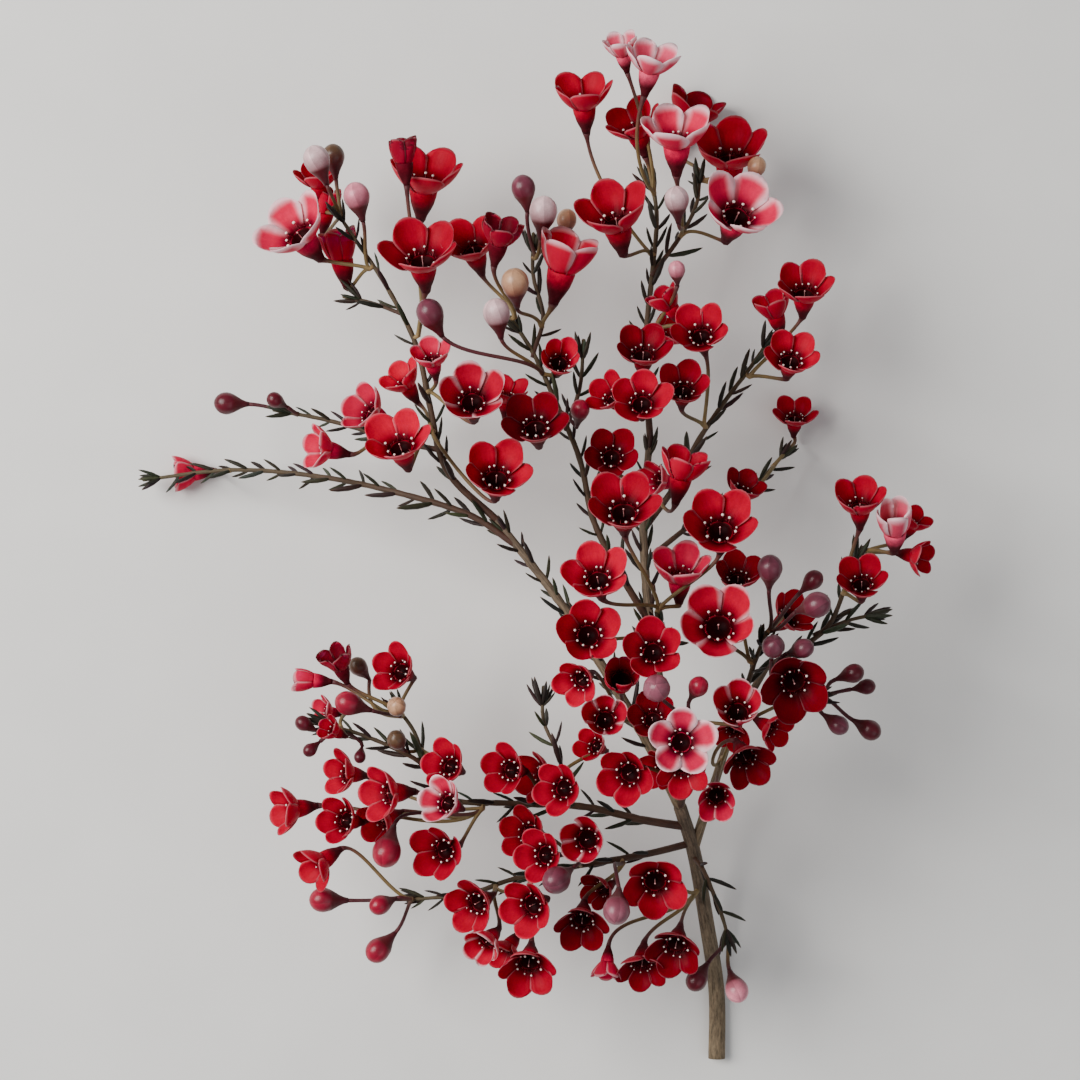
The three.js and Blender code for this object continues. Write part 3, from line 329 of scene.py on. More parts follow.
def stem_rod(route, radii, leafy, tints, sunk=0):
    """A stem along its route, thicker at each pair of leaves, its root sunk in what bears it."""
    line = smooth_line(route)
    length = line_length(line) / MM
    count = round(length / STEM_STEP)
    stations = []
    for k in range(count + 1):
        at = length * k / count
        spot, way = walk(line, at * MM)
        radius = (radii[0] + (radii[1] - radii[0]) * at / length) * STEM_FULLNESS * MM
        if leafy and leafy[0] <= at <= leafy[1]:
            radius *= 1 + KNOT_SWELL * math.cos(2 * math.pi * (at - leafy[0]) / KNOT_STEP)
        stations.append((spot, way, radius, at, blend_paints(tints, at / length)))
    if sunk:
        foot, way, radius, at, tint = stations[0]
        stations.insert(0, (foot - way * sunk * MM, way, radius * ROOT_RADIUS, at, tint))
    tip, way, radius, at, tint = stations[-1]
    stations.append((tip + way * radius * TIP_LENGTH, way, radius * TIP_RADIUS, at, tint))
    return rod(stations, STEM_SIDES)


def layer(tree, name, output):
    """What a finish reads at each point from the mesh's layer `name`."""
    return add_node(tree, "ShaderNodeAttribute", attribute_name=name).outputs[output]


def dress(tree, skin, color, height, strength, distance):
    """Gives a finish its colour and its fine relief."""
    tree.links.new(color, skin.inputs["Base Color"])
    bump = add_node(tree, "ShaderNodeBump", (
        ("Height", height), ("Strength", strength), ("Distance", distance)))
    tree.links.new(bump.outputs[0], skin.inputs["Normal"])


def stem_finish(name, scale, low, high, relief, roughness):
    """The skin of a stem: its own tint, lighter and darker in long streaks and small spots."""
    made, tree, skin = new_finish(name, Roughness=roughness, Specular_IOR_Level=0.35)
    long = add_node(tree, "ShaderNodeVectorMath", (
        (0, layer(tree, "form", "Vector")), (1, scale)), operation="MULTIPLY").outputs[0]
    streaks, cracks = add_mottle(tree, long, 2.4, low, high)
    spots, grains = add_mottle(tree, body_place(tree), 220.0, 0.82, 1.18)
    color = toned(tree, toned(tree, layer(tree, "tint", "Color"), streaks), spots)
    height = calculate(tree, "ADD", cracks, calculate(tree, "MULTIPLY", grains, 0.4))
    dress(tree, skin, color, height, 0.7, relief)
    return made


bark = stem_finish("bark", (1.6, 1.6, 0.10), 0.45, 1.45, 0.0004, 0.78)

cut_wood, tree, skin = new_finish("cut_wood", Roughness=0.85, Specular_IOR_Level=0.2)
grain_place = body_place(tree)
pores, pits = add_mottle(tree, grain_place, 900.0, 0.8, 1.15)
pith = add_node(tree, "ShaderNodeVectorMath", (
    (0, grain_place), (1, place(WOOD_ROUTES[0][0][0]))), operation="DISTANCE").outputs["Value"]
ring_waves = calculate(tree, "SINE", calculate(tree, "MULTIPLY", pith, 9000.0))
wood_color = toned(tree, (*paint(PALE_WOOD), 1), pores)
wood_color = toned(tree, wood_color, ranged(tree, ring_waves, -1.0, 1.0, 0.8, 1.0))
dress(tree, skin, wood_color, pits, 0.5, 0.0002)

piece = new_part()
for route, radii, leafy in WOOD_ROUTES:
    tints = ((0, OLD_BARK), (1, BARK))
    add_part(piece, stem_rod(route, radii, leafy, tints), bark, cut_wood)
finish_piece(piece, "forked_bark_stem", "woody_stem")

# ---- Needle leaves -------------------------------------------------------------------------------
# A needle leaf is narrow, flat and stiff, nearly black-green, a little bent toward the shoot's
# tip, and points sharply.  Leaves grow in pairs, each pair turned a quarter from the one before.
NEEDLE_RINGS = ((0, 0.04), (0.12, 0.075), (0.42, 0.095), (0.75, 0.074), (0.93, 0.036), (1, 0.006))
NEEDLE_FLAT = 0.75  # its thickness, for each unit of its width
NEEDLE_BEND = 0.035  # how far its middle stands out, for each unit of its length
NEEDLE_SIDES = 6
NEEDLE_LENGTHS = (7.0, 12.0)  # mm
NEEDLE_SLOPES = (18, 48)  # degrees from the shoot
NEEDLE_TURNS = (0, 30, -30, 60, -60)  # degrees that it may turn aside where something is close
NEEDLE_ROOM = 0.9  # mm to whatever is close
NEEDLE_CHECKS = (0.35, 0.7, 1.0)  # shares of its length where its room is tried
LOST_NEEDLES = 0.06  # share of the leaves that have dropped
NEEDLE_ROOT = 0.6  # how far from the stem's middle it is rooted, for each unit of the radius
YOUNG_LOSS = 0.25  # how much shorter the leaves are at the tip
TUFT_NEEDLES, TUFT_BACK = 7, 6.0  # leaves in a tuft, and mm from its foot to the shoot's end
TUFT_SLOPES, TUFT_SHARES = (8, 34), (0.5, 0.8)  # degrees, and shares of the longest leaf
NEEDLE_PAINTS = ("23241B", "2A291C", "241C17", "2E1F1E", "343A2C")
NEEDLE_TIP = "5A4030"


def across(axis, turn):
    """Two directions square to `axis` and to each other, turned round it by `turn`."""
    guide = Vector((0, 1, 0)) if abs(axis.z) > 0.9 else Vector((0, 0, 1))
    u = guide.cross(axis).normalized()
    u.rotate(Quaternion(axis, turn))
    return u, axis.cross(u)


def aim(foot, along, outward, scale):
    """A frame at `foot`, +Z along `along` and +X toward `outward`, `scale` times as large."""
    z = along.normalized()
    y = z.cross(outward).normalized()
    turned = Matrix((y.cross(z), y, z)).transposed().to_4x4()
    return Matrix.Translation(foot) @ turned @ Matrix.Scale(scale, 4)


def add_copy(piece, shape, matrix, finish, tint=None):
    """Puts a copy of a ready shape into a piece's mesh, in its own tint if one is given."""
    part = shape.copy()
    if tint:
        shade = layers_of(part)[1]
        for vert in part.verts:
            vert[shade] = tint
    bmesh.ops.transform(part, matrix=matrix, verts=part.verts)
    add_part(piece, part, finish)


def form_parts(tree):
    """The x, y and z of a point's `form`."""
    form = layer(tree, "form", "Vector")
    return add_node(tree, "ShaderNodeSeparateXYZ", (("Vector", form),)).outputs


needle_stations = []
for share, radius in NEEDLE_RINGS:
    middle = Vector((NEEDLE_BEND * math.sin(math.pi * share), 0, share))
    way = Vector((NEEDLE_BEND * math.pi * math.cos(math.pi * share), 0, 1)).normalized()
    needle_stations.append((middle, way, radius, share, (0, 0, 0, 1)))
needle_shape = rod(needle_stations, NEEDLE_SIDES)
for vert in needle_shape.verts:
    middle = NEEDLE_BEND * math.sin(math.pi * vert.co.z)
    vert.co.x = middle + (vert.co.x - middle) * NEEDLE_FLAT

needle_skin, tree, skin = new_finish("needle_skin", Roughness=0.5, Specular_IOR_Level=0.2)
dots, dimples = add_mottle(tree, body_place(tree), 700.0, 0.75, 1.25)
sharp_tip = ranged(tree, form_parts(tree)["Z"], 0.85, 1.0, 0.0, 0.6)
needle_color = toned(tree, layer(tree, "tint", "Color"), dots)
needle_color = mixed(tree, sharp_tip, needle_color, (*paint(NEEDLE_TIP), 1))
dress(tree, skin, needle_color, dimples, 0.4, 0.0002)

bunch_points, bunch_faces = [], []
for node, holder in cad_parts.items():
    if node.endswith("_bunch"):
        first = len(bunch_points)
        bunch_points += [vert.co.copy() for vert in holder.data.vertices]
        bunch_faces += [[first + i for i in face.vertices] for face in holder.data.polygons]
bunches = BVHTree.FromPolygons(bunch_points, bunch_faces)


def add_needle(piece, rng, foot, along, side, slope, length):
    """One leaf on the side `side` of a shoot, turned aside or left out where it has no room."""
    for turn in NEEDLE_TURNS:
        away = side.copy()
        away.rotate(Quaternion(along, math.radians(turn)))
        way = along * math.cos(slope) + away * math.sin(slope)
        spots = [foot + way * length * MM * share for share in NEEDLE_CHECKS]
        if spots[-1].z < NEEDLE_ROOM * MM:
            continue
        if any(bunches.find_nearest(spot, NEEDLE_ROOM * MM)[0] for spot in spots):
            continue
        tint = (*(part * rng.uniform(0.8, 1.2) for part in paint(rng.choice(NEEDLE_PAINTS))), 1)
        add_copy(piece, needle_shape, aim(foot, way, away, length * MM), needle_skin, tint)
        return


def add_needles(piece, rng, route, radii, leafy):
    """The leaves of one stem: pairs along its leafy stretch, and a tuft where that ends."""
    line = smooth_line(route)
    length = line_length(line) / MM
    to_tip = leafy[1] > length - 2 * KNOT_STEP
    last = length - TUFT_BACK if to_tip else leafy[1]
    count = round((last - leafy[0]) / KNOT_STEP)
    side = across(walk(line, 0)[1], rng.uniform(0, math.pi))[0]
    for k in range(count + 1):
        at = leafy[0] + (last - leafy[0]) * k / count
        spot, along = walk(line, at * MM)
        side = (side - along * side.dot(along)).normalized()
        side.rotate(Quaternion(along, math.pi / 2 + rng.uniform(-0.15, 0.15)))
        radius = (radii[0] + (radii[1] - radii[0]) * at / length) * STEM_FULLNESS * MM
        young = 1 - YOUNG_LOSS * k / count
        for away in (side, -side):
            if rng.random() < LOST_NEEDLES:
                continue
            slope = math.radians(rng.uniform(*NEEDLE_SLOPES))
            add_needle(piece, rng, spot + away * radius * NEEDLE_ROOT, along, away, slope,
                       rng.uniform(*NEEDLE_LENGTHS) * young)
    if to_tip:
        spot, along = walk(line, last * MM)
        for k in range(TUFT_NEEDLES):
            away = across(along, k * 2 * math.pi / TUFT_NEEDLES + rng.uniform(-0.3, 0.3))[0]
            add_needle(piece, rng, spot, along, away, math.radians(rng.uniform(*TUFT_SLOPES)),
                       rng.uniform(*TUFT_SHARES) * NEEDLE_LENGTHS[1])


piece, rng = new_part(), random.Random("woody_stem")
for route, radii, leafy in WOOD_ROUTES:
    if leafy:
        add_needles(piece, rng, route, radii, leafy)
finish_piece(piece, "bark_stem_needles", "woody_stem")

# ---- Stalks --------------------------------------------------------------------------------------
# A flower or bud stands on its own thin stalk, tan at a small knot on the shoot, olive above
# it and maroon near the head.  All stalks of a bunch leave the shoot together, in a leaf's axil.
LEAVE_SHARE, RISE_SHARE, MEET_SHARE = 0.15, 0.2, 0.33  # shares of its reach that shape a stalk
BOWS, BOW_WAYS = (0, 3, 6, 9), 8  # mm that a stalk may bow aside, and the ways that it may go
HEAD_BOW = 0.6  # share of the bow that is left near the head
BOW_CHECKS = (0.3, 0.5, 0.7, 0.85)  # shares of a stalk where its way is tried
CURVE_STEPS = 60  # points that measure a stalk's length
STALK_STEP, FEWEST_STEPS = 1.6, 4  # mm between two rings, and the fewest steps of a stalk
STALK_SIDES = 8
KNOT_RADIUS, KNOT_LENGTH, STALK_RADIUS = 0.85, 0.9, 0.58  # mm
FLARE_LENGTH, BUD_FLARE = 4.5, 0.1  # mm over which a stalk widens to its head, and how much
STALK_PAINTS = ((0, "8E7650"), (0.15, "75643E"), (0.6, "66502F"), (0.85, "58302A"), (1, "4A161E"))
DARK_STALK_PAINTS = ((0, "5E4632"), (0.2, "4E2C28"), (0.7, "4A1A22"), (1, "4A161E"))
DARK_STALKED = ("mauve", "plum", "crimson", "burgundy")  # the heads whose stalks are darker
BOWL_FOOT, BUD_FOOT = 0.95, 1.9  # how deep a calyx goes, for each unit of the head's size
MOUTH = 0.36  # how far a flower's disc lies behind its place, for each unit of its size
FOOT_RADIUS = 0.15  # of a flower's calyx, for each unit of its size
TURN_X, TURN_Y = 7, 13  # degrees that a head turns on its axis for each mm of its place
WIDE, OPEN, CUPPED, HALF, SHUT = 64, 44, 38, 28, 13  # degrees from the axis to the petals


def head(kind, x, y, z, toward, lean, size, spread, color):
    """A flower or bud at a place in the plan, which faces `toward`, `lean` from upright."""
    a, b = math.radians(toward), math.radians(lean)
    axis = Vector((math.sin(b) * math.cos(a), math.sin(b) * math.sin(a), math.cos(b)))
    back, deep = (MOUTH, BOWL_FOOT) if kind == "bloom" else (0, BUD_FOOT)
    disc = place((x, y, z)) - axis * back * size * MM
    u, v = across(axis, math.radians(x * TURN_X + y * TURN_Y))
    stand = Matrix((u, v, axis)).transposed().to_4x4()
    return dict(kind=kind, axis=axis, foot=disc - axis * deep * size * MM,
                size=size, spread=spread, color=color,
                stand=Matrix.Translation(disc) @ stand @ Matrix.Scale(size * MM, 4))


def bloom(x, y, z, toward, lean, size, spread, color="red"):
    return head("bloom", x, y, z, toward, lean, size, spread, color)


def bud(x, y, z, toward, lean, size, color):
    return head("bud", x, y, z, toward, lean, size, 0, color)


def bezier(points, t):
    """The point and the direction of a cubic curve at `t`."""
    p0, p1, p2, p3 = points
    s = 1 - t
    spot = p0 * s ** 3 + p1 * (3 * s * s * t) + p2 * (3 * s * t * t) + p3 * t ** 3
    way = (p1 - p0) * s * s + (p2 - p1) * (2 * s * t) + (p3 - p2) * t * t
    return spot, way.normalized()


def stalk_curve(item, start, outward, core):
    """The curve from `start` to a head's foot that keeps inside the part's own core."""
    foot, axis = item["foot"], item["axis"]
    reach, straight = (foot - start).length, (foot - start).normalized()
    a, b = across(straight, 0)
    best = None
    for bow in BOWS:
        for way in range(BOW_WAYS if bow else 1):
            angle = way * 2 * math.pi / BOW_WAYS
            aside = (a * math.cos(angle) + b * math.sin(angle)) * bow * MM
            leave = start + (outward * LEAVE_SHARE + straight * RISE_SHARE) * reach + aside
            meet = foot - axis * MEET_SHARE * reach + aside * HEAD_BOW
            curve = (start, leave, meet, foot)
            astray = max(core.find_nearest(bezier(curve, t)[0])[3] for t in BOW_CHECKS)
            if best is None or astray < best[0]:
                best = (astray, curve)
    return best[1]


def stalk_rod(item, start, outward, root, core):
    """A head's stalk, from its knot at `root` on the shoot to its head's foot."""
    curve = stalk_curve(item, start, outward, core)
    spots = [bezier(curve, k / CURVE_STEPS)[0] for k in range(CURVE_STEPS + 1)]
    length = line_length(spots) / MM
    count = max(FEWEST_STEPS, round(length / STALK_STEP))
    paints = DARK_STALK_PAINTS if item["color"] in DARK_STALKED else STALK_PAINTS
    stations = []
    if start != root:
        stations.append((root, (start - root).normalized(), KNOT_RADIUS * MM, 0,
                         blend_paints(paints, 0)))
    for k in range(count + 1):
        spot, way = bezier(curve, k / count)
        at = length * k / count
        knot = (KNOT_RADIUS - STALK_RADIUS) * math.exp(-at / KNOT_LENGTH)
        flare = max(0, 1 - (length - at) / FLARE_LENGTH) ** 2 * (
            FOOT_RADIUS * item["size"] - STALK_RADIUS if item["kind"] == "bloom" else BUD_FLARE)
        radius = (STALK_RADIUS + knot + flare) * MM
        stations.append((spot, way, radius, at, blend_paints(paints, k / count)))
    return rod(stations, STALK_SIDES)


stalk_skin = stem_finish("stalk_skin", (1.0, 1.0, 0.22), 0.8, 1.2, 0.00015, 0.55)

# ---- Flower cups ---------------------------------------------------------------------------------
# Behind its petals a flower has a deep ribbed cup, the calyx, maroon at its foot and as red as
# the petals at its rim.  Its mouth is closed by a sunken disc that is nearly black.
CUP_OUTLINE = [  # radius and height from the disc, and how far up the cup that is
    (0, -0.97, 0), (0.14, -0.96, 0), (0.18, -0.80, 0.16), (0.25, -0.62, 0.36), (0.32, -0.42, 0.58),
    (0.37, -0.22, 0.8), (0.39, -0.05, 0.97), (0.385, 0.01, 1.0), (0.35, 0.02, 1.1),
    (0.31, -0.04, 1.3), (0.21, -0.13, 1.6), (0, -0.17, 2.0),
]
CUP_STEPS, CUP_RIBS, CUP_RIB = 20, 10, 0.035
CUP_PAINTS = ((0, "4A161E"), (0.25, "480E18"), (0.5, "540812"), (0.62, "2A0206"), (1, "0C0103"))


def turned_shape(outline, steps):
    """A closed turned shape; `form` holds the place round it in x and y, and the mark in z."""
    part = new_part()
    form = layers_of(part)[0]
    verts = [part.verts.new((radius, 0, height)) for radius, height, _ in outline]
    for vert, (_, _, mark) in zip(verts, outline):
        vert[form] = (1, 0, mark)
    edges = [part.edges.new(pair) for pair in zip(verts, verts[1:])]
    bmesh.ops.spin(part, geom=verts + edges, cent=(0, 0, 0), axis=(0, 0, 1),
                   angle=2 * math.pi, steps=steps, use_merge=True)
    bmesh.ops.remove_doubles(part, verts=part.verts, dist=1e-5)
    bmesh.ops.recalc_face_normals(part, faces=part.faces)
    for vert in part.verts:
        out = vert.co.xy.length
        vert[form].xy = vert.co.xy / out if out > 1e-4 else (0, 0)
    return part


def ribbed(part, ribs, deep, low, high):
    """Sinks grooves between ribs into the side of a turned shape, from mark `low` to `high`."""
    form = layers_of(part)[0]
    for vert in part.verts:
        if low <= vert[form].z <= high:
            angle = math.atan2(vert.co.y, vert.co.x)
            vert.co.xy *= 1 + deep * math.cos(ribs * angle)
    return part


def paint_ramp(tree, value, stops):
    """A colour ramp; its stops' places run from 0 to 1."""
    made = add_node(tree, "ShaderNodeValToRGB", (("Fac", value),))
    ramp = made.color_ramp
    while len(ramp.elements) < len(stops):
        ramp.elements.new(1.0)
    for element, (at, code) in zip(ramp.elements, stops):
        element.position = at
        element.color = (*paint(code), 1)
    return made.outputs["Color"]


cup_shape = ribbed(turned_shape(CUP_OUTLINE, CUP_STEPS), CUP_RIBS, CUP_RIB, 0.2, 0.8)

cup_skin, tree, skin = new_finish("cup_skin", Roughness=0.5, Specular_IOR_Level=0.03)
mark = form_parts(tree)["Z"]
spots, pimples = add_mottle(tree, body_place(tree), 600.0, 0.7, 1.3)
own_color = paint_ramp(tree, calculate(tree, "MULTIPLY", mark, 0.5), CUP_PAINTS)
rise = ranged(tree, mark, 0.38, 1.04, smooth=True)
redder = calculate(tree, "MULTIPLY", rise, ranged(tree, mark, 1.0, 1.15, 1.0, 0.0))
cup_color = toned(tree, mixed(tree, redder, own_color, layer(tree, "tint", "Color")), spots)
dress(tree, skin, cup_color, pimples, 0.5, 0.0002)

# ---- Petals --------------------------------------------------------------------------------------
# Five waxy, nearly round petals stand round the mouth of the cup, side by side as a deep bowl,
# each hollow like a spoon.  They are red to pale pink, and nearly all have a paler edge, partly
# their own colour and partly painted backlight on the rim.  Painted shade darkens them inside
# near the base, with their own dark throat, and their pinker backs are partly painted light.
PETALS = 5
DISC_RADIUS, PETAL_LENGTH, PETAL_HALF_WIDTH = 0.36, 1.13, 0.65  # for each unit of size
PETAL_ARC = math.radians(39.5)  # half of the most that a petal takes of the ring
PETAL_CURL = math.radians(34)  # how much a petal turns inward along its length
PETAL_MESH = (6, 7)  # faces across and along
CLAW = 0.80  # a claw's width, for each unit of the petal's
SPOON, LAP, LIMP_WAVE = 0.06, 0.030, 0.13  # for each unit of size
PETAL_SWAY = 5  # degrees that a petal may stand off its flower's spread
FRESH_LIMP = 0.12  # how wavy a fresh petal is beside a wilted one
PETAL_WALL = 0.30  # mm
PETAL_PAINTS = {  # the colour, and how far the pale edge, partly painted rim light, reaches in
    "red": ("A40026", 0.22), "bright": ("BA002E", 0.24), "dark": ("760018", 0.15),
    "rosy": ("CA1844", 0.42), "edged": ("B2042E", 0.55), "rimmed": ("CE1C48", 0.90),
    "pale": ("E0506E", 1.0), "wilted": ("5C0A1C", 0.15),
}
# the pale edge colour is partly the petals' own and partly painted backlight on the rims
PETAL_EDGE_AND_RIM_LIGHT, PETAL_THROAT_SHADE, PETAL_BACK_WITH_LIGHT = "FBD2DA", "200004", "BC1034"


def petal(rng, size, spread, turn, tint, limp):
    """One petal as a thin closed shell, its hollow side inward, in units of the flower's size."""
    part = new_part()
    form, shade = layers_of(part)
    bmesh.ops.create_grid(part, x_segments=PETAL_MESH[0], y_segments=PETAL_MESH[1], size=1)
    open_at = math.radians(spread + rng.uniform(-PETAL_SWAY, PETAL_SWAY)) + PETAL_CURL / 2
    long, wide = rng.uniform(0.95, 1.05), PETAL_HALF_WIDTH * rng.uniform(0.94, 1.04)
    spoon = SPOON * rng.uniform(0.6, 1.4)
    waves = [(rng.uniform(-1, 1), rng.uniform(0, 6.3)) for _ in range(2)]
    for vert in part.verts:
        x, y = vert.co.x, vert.co.y
        vert[form] = (x, (y + 1) / 2, 0)
        vert[shade] = tint
        if y > 0:
            half, y = wide * math.sqrt(1 - y * y / 2), y * math.sqrt(1 - x * x / 2)
        else:
            half = wide * (CLAW + (1 - CLAW) * math.cos(y * math.pi / 2))
        share = (y + 1) / 2
        end = open_at - PETAL_CURL * share
        radius = DISC_RADIUS + long * PETAL_LENGTH * (math.cos(end) - math.cos(open_at)) / PETAL_CURL
        height = long * PETAL_LENGTH * (math.sin(open_at) - math.sin(end)) / PETAL_CURL
        inward = spoon * (x * x + 0.5 * share ** 4) + LAP * x * min(1, 3 * share)
        inward += limp * LIMP_WAVE * share * sum(
            deep * math.sin(3 * x + 4 * share + phase) for deep, phase in waves)
        angle = turn - x * min(half / radius, PETAL_ARC)
        radius -= inward * math.cos(end)
        height += inward * math.sin(end)
        vert.co = (radius * math.cos(angle), radius * math.sin(angle), height)
    front = set(part.verts)
    bmesh.ops.solidify(part, geom=part.faces[:], thickness=PETAL_WALL / size)
    for vert in part.verts:
        if vert not in front:
            vert[form].z = 1
    return part


def add_petals(piece, rng, item):
    code, edge = PETAL_PAINTS[item["color"]]
    limp = 1 if item["color"] == "wilted" else FRESH_LIMP
    bright = rng.uniform(0.88, 1.12)
    tint = (*(part * bright for part in paint(code)), edge)
    for i in range(PETALS):
        turn = (i + 1) * 2 * math.pi / PETALS
        part = petal(rng, item["size"], item["spread"], turn, tint, limp)
        bmesh.ops.transform(part, matrix=item["stand"], verts=part.verts)
        add_part(piece, part, petal_skin)


petal_skin, tree, skin = new_finish(
    "petal_skin", Roughness=0.36, Specular_IOR_Level=0.03,
    Subsurface_Weight=0.12, Subsurface_Radius=(1.0, 0.25, 0.2), Subsurface_Scale=0.0015)
parts, body, reach = form_parts(tree), body_place(tree), layer(tree, "tint", "Alpha")
fan = add_node(tree, "ShaderNodeVectorMath", (
    (0, layer(tree, "form", "Vector")), (1, (5.0, 0.9, 0))), operation="MULTIPLY")
shifted = add_node(tree, "ShaderNodeVectorMath", (
    (0, body), (1, (60, 60, 60)), (2, fan.outputs[0])), operation="MULTIPLY_ADD")
veins, furrows = add_mottle(tree, shifted.outputs[0], 1.6, 0.95, 1.05)
clouds, dents = add_mottle(tree, body, 260.0, 0.90, 1.10)
petal_color = toned(tree, toned(tree, layer(tree, "tint", "Color"), veins), clouds)
# the backs are pinker: partly their own colour, partly painted light on the outer faces
lit_back_share = calculate(tree, "MULTIPLY", parts["Z"], 0.35)
petal_color = mixed(tree, lit_back_share, petal_color, (*paint(PETAL_BACK_WITH_LIGHT), 1))
# darker toward the base on the inside: the flower's dark throat together with painted shade deep in
# the bowl
throat_shade = ranged(tree, parts["Y"], 0.0, 0.52, 0.97, 0.0, smooth=True)
throat_shade = calculate(tree, "MULTIPLY", throat_shade, calculate(tree, "SUBTRACT", 1.0, parts["Z"]))
petal_color = mixed(tree, throat_shade, petal_color, (*paint(PETAL_THROAT_SHADE), 1))
aside = calculate(tree, "ABSOLUTE", parts["X"])
ahead = calculate(tree, "SUBTRACT", calculate(tree, "MULTIPLY", parts["Y"], 2.0), 1.0)
edge_place = calculate(tree, "MAXIMUM", aside, ahead)
edge_start = calculate(tree, "SUBTRACT", 0.97, calculate(tree, "MULTIPLY", reach, 0.62))
edge_strength = ranged(tree, reach, 0.2, 0.8, 0.12, 0.95)
# a paler edge: partly the petals' own colour, partly painted backlight on the rim
pale_edge_and_rim_light = ranged(tree, edge_place, edge_start, 1.02, 0.0, edge_strength, smooth=True)
pale_edge_and_rim_light = calculate(tree, "MULTIPLY", pale_edge_and_rim_light, ranged(tree, parts["Y"], 0.10, 0.45))
petal_color = mixed(tree, pale_edge_and_rim_light, petal_color, (*paint(PETAL_EDGE_AND_RIM_LIGHT), 1))
dress(tree, skin, petal_color, calculate(tree, "ADD", furrows, dents), 0.35, 0.0003)

# ---- Stamens and style ---------------------------------------------------------------------------
# Up to ten stamens with white anthers and ten shorter dark ones stand in a ring round the disc,
# on pink threads.  One thin style with a pale tip stands in the middle.
STAMENS, STAMEN_SIDES, STYLE_SIDES = 20, 3, 5
READY_RINGS = 4  # rings of stamens, one of which each flower gets
STAMEN_ROOT = 0.385  # for each unit of size, as all that follows
LONG_STAMEN = dict(tip=(0.44, 0.20), thread=0.012, anther=0.046)
SHORT_STAMEN = dict(tip=(0.36, 0.10), thread=0.012, anther=0.020)
LOST_STAMENS = 0.15  # share of the white anthers that have dropped
STYLE = ((0.016, -0.16), (0.013, 0.02), (0.012, 0.20), (0.026, 0.23), (0.020, 0.26))
THREAD_PAINT, ANTHER_PAINT, STYLE_PAINT = "B03A4C", "FFF4EC", "E8A8A8"
SHORT_PAINT = "5A0A14"


def stamen_ring(rng):
    """The stamens and the style of one flower, in units of its size."""
    part = new_part()
    thread, anther, pale, dull = (
        (*paint(c), 1) for c in (THREAD_PAINT, ANTHER_PAINT, STYLE_PAINT, SHORT_PAINT))
    for k in range(STAMENS):
        kind = SHORT_STAMEN if k % 2 or rng.random() < LOST_STAMENS else LONG_STAMEN
        angle = (k + rng.uniform(-0.55, 0.55)) * 2 * math.pi / STAMENS
        out = Vector((math.cos(angle), math.sin(angle), 0))
        up = Vector((0, 0, 1))
        reach, rise = kind["tip"]
        tip = out * reach * rng.uniform(0.88, 1.08) + up * rise * rng.uniform(0.8, 1.3)
        root = out * STAMEN_ROOT
        knee = (root + tip) / 2 + out * 0.02 - up * 0.01
        stations = [(root, (knee - root).normalized(), kind["thread"] * 1.3, 0, thread),
                    (knee, (tip - root).normalized(), kind["thread"], 0.5, thread),
                    (tip, (tip - knee).normalized(), kind["thread"] * 0.8, 1, thread)]
        add_part(part, rod(stations, STAMEN_SIDES), stamen_skin)
        knob = new_part()
        bmesh.ops.create_icosphere(
            knob, subdivisions=1, radius=kind["anther"] * rng.uniform(0.55, 1.1),
            matrix=Matrix.Translation(tip) @ Matrix.Diagonal((1, 1, 0.8, 1)))
        shade = layers_of(knob)[1]
        for vert in knob.verts:
            vert[shade] = anther if kind is LONG_STAMEN else dull
        add_part(part, knob, stamen_skin)
    stations = [(Vector((0, 0, height)), Vector((0, 0, 1)), radius, k, pale)
                for k, (radius, height) in enumerate(STYLE)]
    add_part(part, rod(stations, STYLE_SIDES), stamen_skin)
    return part


stamen_skin, tree, skin = new_finish("stamen_skin", Roughness=0.6, Specular_IOR_Level=0.3)
dust, grains = add_mottle(tree, body_place(tree), 2500.0, 0.85, 1.1)
dress(tree, skin, toned(tree, layer(tree, "tint", "Color"), dust), grains, 0.4, 0.0001)

stamen_rings = [stamen_ring(random.Random(f"stamens {k}")) for k in range(READY_RINGS)]

# ---- Buds ----------------------------------------------------------------------------------------
# A bud is a glossy round cap of five folded petals on a funnel-shaped calyx.  The petals lap
# over each other, which leaves five slanting seams that meet on top.  Painted shade and light
# run across each lapped petal, and painted shade with the bud's own darker base deepens the
# cap toward the calyx.
BUD_OUTLINE = [
    (0, -1.92, 0), (0.20, -1.90, 0), (0.27, -1.60, 0.25), (0.42, -1.24, 0.5), (0.62, -0.90, 0.72),
    (0.78, -0.62, 0.9), (0.84, -0.49, 1.0), (0.86, -0.43, 1.04), (0.93, -0.26, 1.12),
    (0.97, 0.0, 1.22), (0.94, 0.28, 1.34), (0.85, 0.55, 1.48), (0.69, 0.78, 1.62),
    (0.47, 0.96, 1.76), (0.23, 1.065, 1.89), (0, 1.10, 2.0),
]
BUD_STEPS, BUD_RIB, BUD_SEAM, BUD_TWIST = 20, 0.02, 0.045, 1.7
CAP_MARKS = (1.05, 1.99)  # from the lowest to the highest place of the seams
BUD_PAINTS = {"mauve": "8C4E5E", "silver": "DCB8BC", "beige": "BC9070", "blush": "DC8496",
              "crimson": "9A0C30", "burgundy": "540C1C", "plum": "6A3242", "brown": "5A4230"}
BUD_BASE_AND_SHADE = "5C1626"

bud_shape = ribbed(turned_shape(BUD_OUTLINE, BUD_STEPS), PETALS, BUD_RIB, 0.3, 0.9)
form = layers_of(bud_shape)[0]
for vert in bud_shape.verts:
    mark, angle = vert[form].z, math.atan2(vert.co.y, vert.co.x)
    if CAP_MARKS[0] < mark < CAP_MARKS[1]:
        vert.co.xy *= 1 - BUD_SEAM * max(0, math.cos(PETALS * angle + BUD_TWIST * (mark - 1))) ** 4

